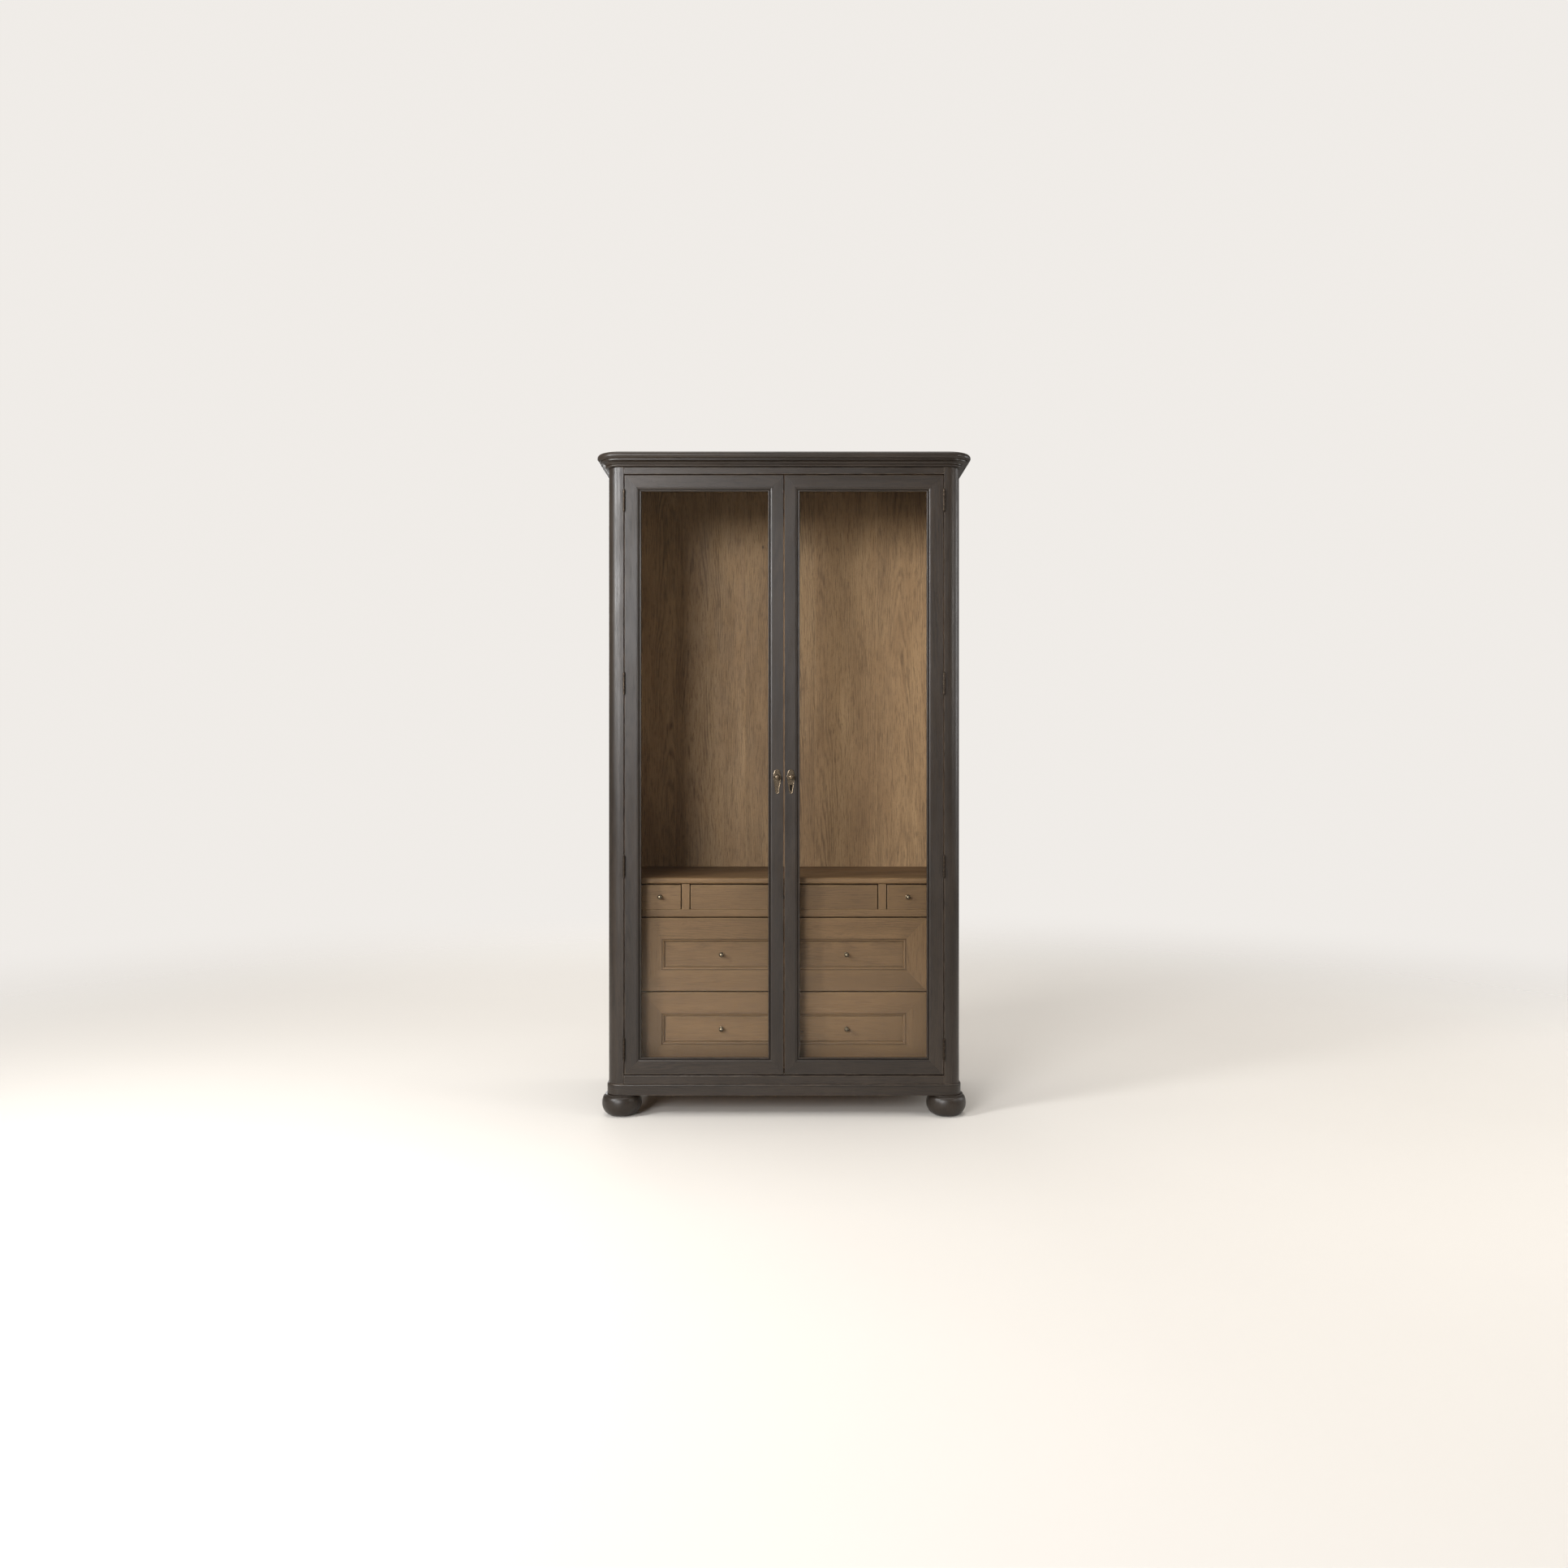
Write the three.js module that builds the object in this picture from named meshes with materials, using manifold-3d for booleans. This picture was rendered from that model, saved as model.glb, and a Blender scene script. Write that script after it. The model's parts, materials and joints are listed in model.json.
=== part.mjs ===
// A tall two-door armoire with glazed doors, an upper compartment over a shelf, and a drawer case
// of three small and two wide drawers behind the doors. Millimetres, +Z up. The front faces -Y,
// +X is to the right, and the origin is the middle of the floor under the object.
import * as THREE from "three";
import { mergeVertices } from "three/addons/utils/BufferGeometryUtils.js";
import Module from "manifold-3d";

const wasm = await Module();
wasm.setup();

// Driving dimensions of the case.
const HEIGHT = 2350;
const BODY_WIDTH = 1250;
const BODY_DEPTH = 610;
const BOARD = 20;
const CORNICE_PROJECTION = 41;
const CORNICE_HEIGHT = 48;
const CORNICE_BANDS = [
  { projection: CORNICE_PROJECTION, above: 0, below: 24, round: [9, 9] },
  { projection: 33, above: 24, below: 37, round: [5, 4] },
  { projection: 20, above: 37, below: CORNICE_HEIGHT, round: [9, 5] },
]; // from the top down: the nose, the bead and the cove
const FOOT_HEIGHT = 77;
const PLINTH_HEIGHT = 39;
const PLINTH_PROUD = 5.5;
const PLINTH_WALL = 40;
const CORNER_BLOCK = 110;
const BOTTOM_RAIL_HEIGHT = 30.5;
const FRIEZE_HEIGHT = 25;
const POST_WIDTH = 57.5;
const POST_DEPTH = 50;
const POST_RADIUS = 45;
const RAIL_DEPTH = 25;
const BACK_INSET = 10;
const BACK_THICKNESS = 12;
const SIDE_FIELD = { front: 45, rear: 75, bottom: 110, top: 85, depth: 6 }; // sunk in each side
const FIT = 0.3; // the gap kept between pieces that touch
const PAST = 1; // how far a cutting solid reaches past what it cuts
const BORE_STEPS = 16;

// Driving dimensions of the doors.
const DOOR_THICKNESS = 22;
const HINGE_GAP = 2.4;
const MEETING_GAP = 3;
const DOOR_BOTTOM_GAP = 3.5;
const DOOR_TOP_GAP = 3.5;
const HINGE_STILE = 44.5;
const MEETING_STILE = 39.5;
const TOP_RAIL = 43;
const BOTTOM_RAIL = 45;
const STICKING = 15; // width of the moulding round the glass
const STICKING_DEPTH = 5;
const GLASS_FRONT = 10;
const GLASS_THICKNESS = 4;
const REBATE = 8;

// Driving dimensions of the hinges, locks and knobs.
const HINGES_PER_DOOR = 4;
const HINGE_LENGTH = 75;
const HINGE_END = 90; // from the door's end to the middle of its last hinge
const HINGE_PROUD = 4.5;
const KNUCKLE_RADIUS = 4;
const KNUCKLES = 5;
const PIN_RADIUS = 1.7;
const BORE_RADIUS = 2.1;
const LEAF_DEPTH = 21.5;
const LEAF_START = 0.5;
const FRAME_LEAF_X = [0.1, 0.9]; // both leaves are measured outwards from the hinge's axis
const DOOR_LEAF_X = [-0.9, -0.2];
const BORE_OVERRUN = 12.5; // the bore's cutting solid reaches past the barrel's ends
const TIP_RADIUS = 3;
const TIP_HEIGHT = 4.5;
const PLATE_X = 24.5;
const PLATE_BOTTOM = 1145;
const PLATE_TOP = 1232;
const PLATE_HALF = 14.5;
const PLATE_FOOT_RADIUS = 6;
const PLATE_THICKNESS = 2.4;
const DOOR_KNOB_Z = 1205;
const KEYHOLE_Z = 1167;
const KEYHOLE = { radius: 4.4, length: 21, slotHalf: 2.6 };
const LOCK_CASE = { x: [5, 50], z: [1118, 1228], depth: 12 };

// Driving dimensions of the drawer case.
const DRAWER_SETBACK = 60;
const SHELF_Z = [820, 842.6];
const WEB_Z = [703, 729];
const CASE_HALF = 515.5;
const DRAWER_HALF = 513;
const GUIDE_THICKNESS = 18;
const RUNNER = { inner: 500, z: [422, 440] };
const DIVIDER_X = [338.5, 366.5];
const SMALL_Z = [733, 816.5];
const SMALL_BOX_Z = [729.5, 800];
const MIDDLE_HALF = 335;
const SIDE_DRAWER_X = [370, 513];
const WIDE_DRAWERS = {
  upper: { front: [436.3, 698.6], box: [440.5, 680] },
  lower: { front: [169.3, 431.9], box: [165.3, 415] },
};
const FRONT_THICKNESS = 20;
const FRAME_WIDTH = 75; // flat border of a wide drawer front
const PANEL_MOULDING = 13;
const MOULDING_DEPTH = 3;
const PANEL_DEPTH = 8;
const BOX_DEPTH = 470;
const BOX_WALL = 12;
const BOX_BOTTOM = 8;
const WIDE_KNOB_X = 224.5;
const SMALL_KNOB_X = 443.5;
const FLOOR_TOP = 164.5;

// Planes and levels that follow from them.
const FRONT = -(BODY_DEPTH + CORNICE_PROJECTION) / 2 + CORNICE_PROJECTION;
const BACK = FRONT + BODY_DEPTH;
const BODY_HALF = BODY_WIDTH / 2;
const OPEN_HALF = BODY_HALF - POST_WIDTH;
const INNER_HALF = BODY_HALF - BOARD;
const PLINTH_TOP = FOOT_HEIGHT + PLINTH_HEIGHT;
const OPEN_BOTTOM = PLINTH_TOP + BOTTOM_RAIL_HEIGHT;
const CORNICE_BOTTOM = HEIGHT - CORNICE_HEIGHT;
const OPEN_TOP = CORNICE_BOTTOM - FRIEZE_HEIGHT;
const BACK_REAR = BACK - BACK_INSET;
const BACK_FRONT = BACK_REAR - BACK_THICKNESS;
const BOARD_REAR = BACK_FRONT - FIT;
const POST_REAR = FRONT + POST_DEPTH;
const RAIL_REAR = FRONT + RAIL_DEPTH;
const TOP_BOARD_Z = [HEIGHT - 14, HEIGHT];
const DOOR_Z = [OPEN_BOTTOM + DOOR_BOTTOM_GAP, OPEN_TOP - DOOR_TOP_GAP];
const DOOR_X = [MEETING_GAP / 2, OPEN_HALF - HINGE_GAP];
const HINGE_X = OPEN_HALF - HINGE_GAP / 2;
const HINGE_Y = FRONT - HINGE_PROUD;
const DRAWER_FACE = FRONT + DRAWER_SETBACK;
const DRAWER_REAR = DRAWER_FACE + FRONT_THICKNESS;

const SIDES = { left: -1, right: 1 };

// ---- finishes --------------------------------------------------------------------------------

const FINISHES = {
  dark_oak: { color: 0x3a322d, roughness: 0.55, metalness: 0 },
  warm_oak: { color: 0x86684a, roughness: 0.6, metalness: 0 },
  glass: { color: 0xdfe6e4, roughness: 0.05, metalness: 0, transparent: true, opacity: 0.3 },
  aged_brass: { color: 0x6f5a3c, roughness: 0.4, metalness: 0.9 },
};

function piece(name, finish, geometry) {
  const mesh = new THREE.Mesh(geometry, new THREE.MeshStandardMaterial(FINISHES[finish]));
  mesh.name = name;
  return mesh;
}

// ---- joining and cutting ---------------------------------------------------------------------

function solidOf(geometry) {
  const bare = geometry.index ? geometry.toNonIndexed() : geometry.clone();
  bare.deleteAttribute("normal");
  bare.deleteAttribute("uv");
  const merged = mergeVertices(bare, 1e-3);
  return new wasm.Manifold(
    new wasm.Mesh({
      numProp: 3,
      vertProperties: merged.attributes.position.array,
      triVerts: new Uint32Array(merged.index.array),
    }),
  );
}

function geometryOf(solid) {
  const mesh = solid.getMesh();
  const geometry = new THREE.BufferGeometry();
  geometry.setAttribute("position", new THREE.BufferAttribute(mesh.vertProperties, 3));
  geometry.setIndex(new THREE.BufferAttribute(mesh.triVerts, 1));
  return geometry;
}

const joined = (first, ...rest) =>
  geometryOf(rest.reduce((solid, geometry) => solid.add(solidOf(geometry)), solidOf(first)));

const cut = (body, ...tools) =>
  geometryOf(tools.reduce((solid, geometry) => solid.subtract(solidOf(geometry)), solidOf(body)));

// ---- basic shapes ----------------------------------------------------------------------------

// A box between two values on each axis. The pair can be given in either order.
function box([x0, x1], [y0, y1], [z0, z1]) {
  const geometry = new THREE.BoxGeometry(Math.abs(x1 - x0), Math.abs(y1 - y0), Math.abs(z1 - z0));
  return geometry.translate((x0 + x1) / 2, (y0 + y1) / 2, (z0 + z1) / 2);
}

// A range of x on the right-hand side, or its mirror image on the left-hand side.
const onSide = (side, [inner, outer]) => [side * inner, side * outer];

function arc(cx, cy, radius, from, to, steps) {
  const points = [];
  for (let i = 0; i <= steps; i += 1) {
    const angle = from + ((to - from) * i) / steps;
    points.push([cx + radius * Math.cos(angle), cy + radius * Math.sin(angle)]);
  }
  return points;
}

const outline = (points, side = 1) =>
  new THREE.Shape(points.map(([x, y]) => new THREE.Vector2(side * x, y)));

// Counterclockwise, with the pair on each axis given in either order.
const rectangle = (x, y) => [
  [Math.min(...x), Math.min(...y)],
  [Math.max(...x), Math.min(...y)],
  [Math.max(...x), Math.max(...y)],
  [Math.min(...x), Math.max(...y)],
];

// An outline in plan (x, y), raised from z0 to z1.
function raised(shape, [z0, z1]) {
  const geometry = new THREE.ExtrudeGeometry(shape, { depth: z1 - z0, bevelEnabled: false });
  return geometry.translate(0, 0, z0);
}

// An outline seen from the front (x, z), running back from y0 to y1.
function facing(shape, [y0, y1]) {
  const geometry = new THREE.ExtrudeGeometry(shape, { depth: y1 - y0, bevelEnabled: false });
  return geometry.rotateX(Math.PI / 2).translate(0, y1, 0);
}

// An outline with an opening, seen from the front.
function ring(outer, inner, depths) {
  const shape = outline(outer);
  shape.holes.push(outline(inner));
  return facing(shape, depths);
}

// A piece turned on a vertical axis, from a profile of [radius, z] points.
function turned(profile, segments) {
  const points = profile.map(([radius, z]) => new THREE.Vector2(radius, z));
  return new THREE.LatheGeometry(points, segments).rotateX(Math.PI / 2);
}

// The plan of the case: square at the back, with rounded front corners.
const casePlan = (half, front, back, radius, steps) => [
  [-half, back],
  ...arc(-half + radius, front + radius, radius, Math.PI, 1.5 * Math.PI, steps),
  ...arc(half - radius, front + radius, radius, 1.5 * Math.PI, 2 * Math.PI, steps),
  [half, back],
];

// ---- feet and plinth -------------------------------------------------------------------------

const FOOT_INSET = 46;
const REAR_FOOT_INSET = 75.5;
const FOOT_SPOTS = {
  front_left: [-(BODY_HALF - FOOT_INSET), FRONT + FOOT_INSET],
  front_right: [BODY_HALF - FOOT_INSET, FRONT + FOOT_INSET],
  rear_left: [-(BODY_HALF - FOOT_INSET), BACK - REAR_FOOT_INSET],
  rear_right: [BODY_HALF - FOOT_INSET, BACK - REAR_FOOT_INSET],
};
const PEG_RADIUS = 11.5;
const PEG_BORE = 12.5;
const PEG_TOP = FOOT_HEIGHT + 30;

// A bun foot with a peg that goes up into the plinth's corner block.
function foot() {
  const top = FOOT_HEIGHT - FIT;
  return turned(
    [
      [0, 0],
      [37, 0],
      [54, 9],
      [66, 24],
      [70.5, 43],
      [68, 60],
      [61, 72],
      [60, top],
      [PEG_RADIUS, top],
      [PEG_RADIUS, PEG_TOP],
      [0, PEG_TOP],
    ],
    20,
  );
}

// A frame of boards with a corner block over each foot, bored for the foot's peg.
function plinth() {
  const half = BODY_HALF + PLINTH_PROUD;
  const x = half - PLINTH_WALL;
  const [near, far] = [FRONT - PLINTH_PROUD + PLINTH_WALL, BACK - PLINTH_WALL];
  const block = CORNER_BLOCK;
  const shape = outline(casePlan(half, FRONT - PLINTH_PROUD, BACK, POST_RADIUS + PLINTH_PROUD, 6));
  shape.holes.push(
    outline([
      [-x + block, near],
      [x - block, near],
      [x, near + block],
      [x, far - block],
      [x - block, far],
      [-x + block, far],
      [-x, far - block],
      [-x, near + block],
    ]),
  );
  for (const [cx, cy] of Object.values(FOOT_SPOTS)) {
    const lastAngle = (2 * Math.PI * (BORE_STEPS - 1)) / BORE_STEPS;
    shape.holes.push(outline(arc(cx, cy, PEG_BORE, 0, lastAngle, BORE_STEPS - 1)));
  }
  return raised(shape, [FOOT_HEIGHT, PLINTH_TOP]);
}

// ---- case ------------------------------------------------------------------------------------

function post(side) {
  const centre = [BODY_HALF - POST_RADIUS, FRONT + POST_RADIUS];
  const points = [
    [OPEN_HALF, FRONT],
    ...arc(...centre, POST_RADIUS, 1.5 * Math.PI, 2 * Math.PI, 7),
    [BODY_HALF, POST_REAR],
    [OPEN_HALF, POST_REAR],
  ];
  return raised(outline(points, side), [PLINTH_TOP + FIT, CORNICE_BOTTOM - FIT]);
}

// A side with a shallow sunk field on its outer face, framed by the board's own borders.
function sidePanel(side) {
  const levels = [PLINTH_TOP + FIT, CORNICE_BOTTOM - FIT];
  const board = box(onSide(side, [INNER_HALF, BODY_HALF]), [POST_REAR + FIT, BACK], levels);
  const fieldX = onSide(side, [BODY_HALF - SIDE_FIELD.depth, BODY_HALF + PAST]);
  const fieldY = [POST_REAR + SIDE_FIELD.front, BACK - SIDE_FIELD.rear];
  const fieldZ = [PLINTH_TOP + SIDE_FIELD.bottom, CORNICE_BOTTOM - SIDE_FIELD.top];
  return cut(board, box(fieldX, fieldY, fieldZ));
}

function floorBoard() {
  const [wide, narrow] = [INNER_HALF - FIT, OPEN_HALF - FIT];
  const points = [
    [-narrow, RAIL_REAR],
    [narrow, RAIL_REAR],
    [narrow, POST_REAR + FIT],
    [wide, POST_REAR + FIT],
    [wide, BOARD_REAR],
    [-wide, BOARD_REAR],
    [-wide, POST_REAR + FIT],
    [-narrow, POST_REAR + FIT],
  ];
  return raised(outline(points), [OPEN_BOTTOM + FIT, FLOOR_TOP]);
}

const frontRail = (levels) => box([-OPEN_HALF + FIT, OPEN_HALF - FIT], [FRONT, RAIL_REAR], levels);

// One band of the cornice: the case's plan pushed out, with its edges rounded over.
function corniceBand({ projection, above, below, round }) {
  const [z0, z1] = [HEIGHT - below, HEIGHT - above];
  const [roundSize, roundDepth] = round;
  const plan = casePlan(
    BODY_HALF + projection,
    FRONT - projection,
    BACK + 2 * CORNICE_PROJECTION,
    POST_RADIUS + projection,
    6,
  );
  const geometry = new THREE.ExtrudeGeometry(outline(plan), {
    depth: z1 - z0 - 2 * roundDepth,
    bevelThickness: roundDepth,
    bevelSize: roundSize,
    bevelOffset: -roundSize,
    bevelSegments: 2,
  });
  return geometry.translate(0, 0, z0 + roundDepth);
}

// Fascia, bead and cove in one moulding, carried round the front corners and open at the back.
function cornice() {
  const inner = INNER_HALF - 2 * FIT;
  const bands = joined(...CORNICE_BANDS.map(corniceBand));
  const levels = [CORNICE_BOTTOM - PAST, HEIGHT + PAST];
  const behind = box([-BODY_WIDTH, BODY_WIDTH], [BACK, BACK + BODY_DEPTH], levels);
  const well = box([-inner, inner], [RAIL_REAR + FIT, BACK + PAST], levels);
  return cut(bands, behind, well);
}

function carcassPieces() {
  const inner = INNER_HALF - FIT;
  const wellHalf = INNER_HALF - 3 * FIT;
  const bay = [DRAWER_FACE, BOARD_REAR];
  const pieces = [
    piece("plinth", "dark_oak", plinth()),
    piece("bottom_rail", "dark_oak", frontRail([PLINTH_TOP + FIT, OPEN_BOTTOM])),
    piece("frieze_rail", "dark_oak", frontRail([OPEN_TOP, CORNICE_BOTTOM - FIT])),
    piece("cornice", "dark_oak", cornice()),
    piece(
      "top_board",
      "dark_oak",
      box([-wellHalf, wellHalf], [RAIL_REAR + 2 * FIT, BACK], TOP_BOARD_Z),
    ),
    piece(
      "back_panel",
      "warm_oak",
      box([-wellHalf, wellHalf], [BACK_FRONT, BACK_REAR], [PLINTH_TOP + FIT, TOP_BOARD_Z[0] - FIT]),
    ),
    piece("floor_board", "warm_oak", floorBoard()),
    piece("shelf_board", "warm_oak", box([-inner, inner], [DRAWER_FACE - 2, BOARD_REAR], SHELF_Z)),
    piece("drawer_web_board", "warm_oak", box([-CASE_HALF + FIT, CASE_HALF - FIT], bay, WEB_Z)),
  ];
  for (const [place, [x, y]] of Object.entries(FOOT_SPOTS)) {
    pieces.push(piece(`${place}_foot`, "dark_oak", foot().translate(x, y, 0)));
  }
  for (const [name, side] of Object.entries(SIDES)) {
    const dividerZ = [WEB_Z[1] + FIT, SHELF_Z[0] - FIT];
    pieces.push(
      piece(`${name}_post`, "dark_oak", post(side)),
      piece(`${name}_side_panel`, "dark_oak", sidePanel(side)),
      piece(`${name}_divider`, "warm_oak", box(onSide(side, DIVIDER_X), bay, dividerZ)),
      piece(`${name}_drawer_guide`, "warm_oak", drawerGuide(side)),
    );
  }
  return pieces;
}

// The filler beside the drawers, the partition behind it and the runner of the upper wide drawer.
function drawerGuide(side) {
  const points = [
    [CASE_HALF, DRAWER_FACE],
    [INNER_HALF - FIT, DRAWER_FACE],
    [INNER_HALF - FIT, DRAWER_REAR],
    [CASE_HALF + GUIDE_THICKNESS, DRAWER_REAR],
    [CASE_HALF + GUIDE_THICKNESS, BOARD_REAR],
    [CASE_HALF, BOARD_REAR],
  ];
  const board = raised(outline(points, side), [FLOOR_TOP + FIT, SHELF_Z[0] - FIT]);
  const runnerX = onSide(side, [RUNNER.inner, CASE_HALF + 1]);
  return joined(board, box(runnerX, [DRAWER_REAR + 15, BOARD_REAR - 5], RUNNER.z));
}

// ---- hinges ----------------------------------------------------------------------------------

const hingeLevels = Array.from({ length: HINGES_PER_DOOR }, (_, i) => {
  const [low, high] = [DOOR_Z[0] + HINGE_END, DOOR_Z[1] - HINGE_END];
  return high + ((low - high) * i) / (HINGES_PER_DOOR - 1);
});
const KNUCKLE_PITCH = (HINGE_LENGTH + FIT) / KNUCKLES;

function knuckleSpan(middle, index) {
  const start = middle - HINGE_LENGTH / 2 + index * KNUCKLE_PITCH;
  return [start, start + KNUCKLE_PITCH - FIT];
}

function cylinder(radius, [z0, z1], x, y) {
  const profile = [
    [0, z0],
    [radius, z0],
    [radius, z1],
    [0, z1],
  ];
  return turned(profile, 8).translate(x, y, 0);
}

// A thin leaf in the gap at the door's edge, with a tab and a knuckle at each given place.
function leafParts(side, leafX, middle, indexes) {
  const x = onSide(side, [HINGE_X + leafX[0], HINGE_X + leafX[1]]);
  const parts = [
    box(x, [FRONT + LEAF_START, FRONT + LEAF_DEPTH], [
      middle - HINGE_LENGTH / 2,
      middle + HINGE_LENGTH / 2,
    ]),
  ];
  for (const index of indexes) {
    const span = knuckleSpan(middle, index);
    parts.push(box(x, [HINGE_Y, FRONT + LEAF_START + 1], span));
    parts.push(cylinder(KNUCKLE_RADIUS, span, side * HINGE_X, HINGE_Y));
  }
  return parts;
}

// The leaf on the post, which carries the pin and its two small tips.
function frameLeaf(side, middle) {
  const end = HINGE_LENGTH / 2;
  const half = [
    [PIN_RADIUS, end],
    [TIP_RADIUS, end + 2],
    [TIP_RADIUS - 1, end + TIP_HEIGHT],
    [0, end + TIP_HEIGHT],
  ];
  const profile = [...half.map(([r, z]) => [r, -z]).reverse(), ...half];
  const pin = turned(profile, 8).translate(side * HINGE_X, HINGE_Y, middle);
  return joined(...leafParts(side, FRAME_LEAF_X, middle, [0, 2, 4]), pin);
}

// The leaf on the door, whose knuckles turn on the pin.
function doorLeaf(side, middle) {
  const reach = HINGE_LENGTH / 2 + BORE_OVERRUN;
  const bore = cylinder(BORE_RADIUS, [middle - reach, middle + reach], side * HINGE_X, HINGE_Y);
  return cut(joined(...leafParts(side, DOOR_LEAF_X, middle, [1, 3])), bore);
}

function hingeLeaves(name, side, kind, leaf) {
  return hingeLevels.map((z, i) =>
    piece(`${name}_hinge_${i + 1}_${kind}_leaf`, "aged_brass", leaf(side, z)),
  );
}

// ---- knobs, plates and lock ------------------------------------------------------------------

// A ball knob on a turned neck that stands forward from a face at the given y.
function knob(radius, length, x, faceY, z) {
  const centre = length - radius;
  const neck = 0.42 * radius;
  const ball = arc(0, centre, radius, -0.33 * Math.PI, 0.5 * Math.PI, 6);
  const profile = [[0, 0], [0.8 * radius, 0], [0.8 * radius, 2], [neck, 4.5], ...ball.slice(0, -1)];
  profile.push([0, length]);
  return turned(profile, 14)
    .rotateX(Math.PI / 2)
    .translate(x, faceY, z);
}

// The shield-shaped back plate of a door knob: pointed at the top and narrowed to a round foot.
function shieldPoints(x) {
  const height = PLATE_TOP - PLATE_BOTTOM;
  const half = PLATE_HALF;
  const shoulder = PLATE_TOP - 0.3 * height;
  const footZ = PLATE_BOTTOM + PLATE_FOOT_RADIUS;
  const foot = arc(0, footZ, PLATE_FOOT_RADIUS, 1.15 * Math.PI, 1.85 * Math.PI, 4);
  const points = [[half, shoulder], [half * 0.62, PLATE_TOP - 5], [0, PLATE_TOP]];
  points.push([-half * 0.62, PLATE_TOP - 5], [-half, shoulder], ...foot);
  return points.map(([px, pz]) => [x + px, pz]);
}

function keyholePoints(x, { radius, length, slotHalf }) {
  const top = KEYHOLE_Z + length / 2 - radius;
  const bow = arc(x, top, radius, -0.3 * Math.PI, 1.3 * Math.PI, 8);
  const bottom = KEYHOLE_Z - length / 2;
  return [...bow, [x - slotHalf, bottom], [x + slotHalf, bottom]];
}

function backPlate(side, hasKeyhole) {
  const shape = outline(shieldPoints(side * PLATE_X));
  if (hasKeyhole) {
    shape.holes.push(outline(keyholePoints(side * PLATE_X, KEYHOLE)));
  }
  return facing(shape, [FRONT - FIT - PLATE_THICKNESS, FRONT - FIT]);
}

function lockCase() {
  const rear = FRONT + DOOR_THICKNESS + FIT;
  return box(LOCK_CASE.x, [rear, rear + LOCK_CASE.depth], LOCK_CASE.z);
}

// ---- doors -----------------------------------------------------------------------------------

// The door's opening at the glass, grown outwards by a margin.
function sightEdge(side, margin) {
  const x = onSide(side, [
    DOOR_X[0] + MEETING_STILE + STICKING - margin,
    DOOR_X[1] - HINGE_STILE - STICKING + margin,
  ]);
  const z = [
    DOOR_Z[0] + BOTTOM_RAIL + STICKING - margin,
    DOOR_Z[1] - TOP_RAIL - STICKING + margin,
  ];
  return [x, z];
}

// Flat frame, sunk moulding and glass rebate, from front to back.
function doorFrame(side, hasKeyhole) {
  const outer = rectangle(onSide(side, DOOR_X), DOOR_Z);
  const step = (margin, from, to) =>
    ring(outer, rectangle(...sightEdge(side, margin)), [FRONT + from, FRONT + to]);
  const frame = joined(
    step(STICKING, 0, STICKING_DEPTH),
    step(0, STICKING_DEPTH, GLASS_FRONT),
    step(REBATE, GLASS_FRONT, DOOR_THICKNESS),
  );
  if (!hasKeyhole) {
    return frame;
  }
  const hole = outline(keyholePoints(side * PLATE_X, KEYHOLE));
  return cut(frame, facing(hole, [FRONT - PAST, FRONT + DOOR_THICKNESS + PAST]));
}

function doorGlass(side) {
  const front = FRONT + GLASS_FRONT + FIT;
  const [x, z] = sightEdge(side, REBATE - FIT);
  return box(x, [front, front + GLASS_THICKNESS], z);
}

function doorPieces(name, side) {
  const hasKeyhole = name === "right";
  const plateFace = FRONT - PLATE_THICKNESS - 2 * FIT;
  const pieces = [
    piece(`${name}_door_frame`, "dark_oak", doorFrame(side, hasKeyhole)),
    piece(`${name}_door_glass`, "glass", doorGlass(side)),
    piece(`${name}_door_plate`, "aged_brass", backPlate(side, hasKeyhole)),
    piece(`${name}_door_knob`, "aged_brass", knob(9.5, 32, side * PLATE_X, plateFace, DOOR_KNOB_Z)),
    ...hingeLeaves(name, side, "door", doorLeaf),
  ];
  if (hasKeyhole) {
    pieces.push(piece("lock_case", "aged_brass", lockCase()));
  }
  return pieces;
}

// ---- drawers ---------------------------------------------------------------------------------

// An open-topped box with its front wall at y0.
function openBox([x0, x1], y0, [z0, z1]) {
  const inside = [x0 + BOX_WALL, x1 - BOX_WALL];
  return cut(
    box([x0, x1], [y0, y0 + BOX_DEPTH], [z0, z1]),
    box(inside, [y0 + BOX_WALL, y0 + BOX_DEPTH - BOX_WALL], [z0 + BOX_BOTTOM, z1 + 1]),
  );
}

const drawerKnob = (x, faceY, z) => knob(9, 26, x, faceY - FIT, z);

// A small drawer is a plain slab front and its box, glued up as one.
function smallDrawer(name, [x0, x1]) {
  const front = box([x0, x1], [DRAWER_FACE, DRAWER_REAR], SMALL_Z);
  const body = joined(front, openBox([x0 + 2, x1 - 2], DRAWER_REAR - 1, SMALL_BOX_Z));
  const middle = (SMALL_Z[0] + SMALL_Z[1]) / 2;
  const knobX = Math.sign(x0 + x1) * SMALL_KNOB_X;
  return [
    piece(name, "warm_oak", body),
    piece(`${name}_knob`, "aged_brass", drawerKnob(knobX, DRAWER_FACE, middle)),
  ];
}

// A wide drawer's front has a flat border and a sunk panel inside a moulding.
function wideDrawerFront(levels) {
  const sunk = (margin, depth) =>
    box(
      [-DRAWER_HALF + margin, DRAWER_HALF - margin],
      [DRAWER_FACE - 1, DRAWER_FACE + depth],
      [levels[0] + margin, levels[1] - margin],
    );
  return cut(
    box([-DRAWER_HALF, DRAWER_HALF], [DRAWER_FACE, DRAWER_REAR], levels),
    sunk(FRAME_WIDTH, MOULDING_DEPTH),
    sunk(FRAME_WIDTH + PANEL_MOULDING, PANEL_DEPTH),
  );
}

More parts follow.
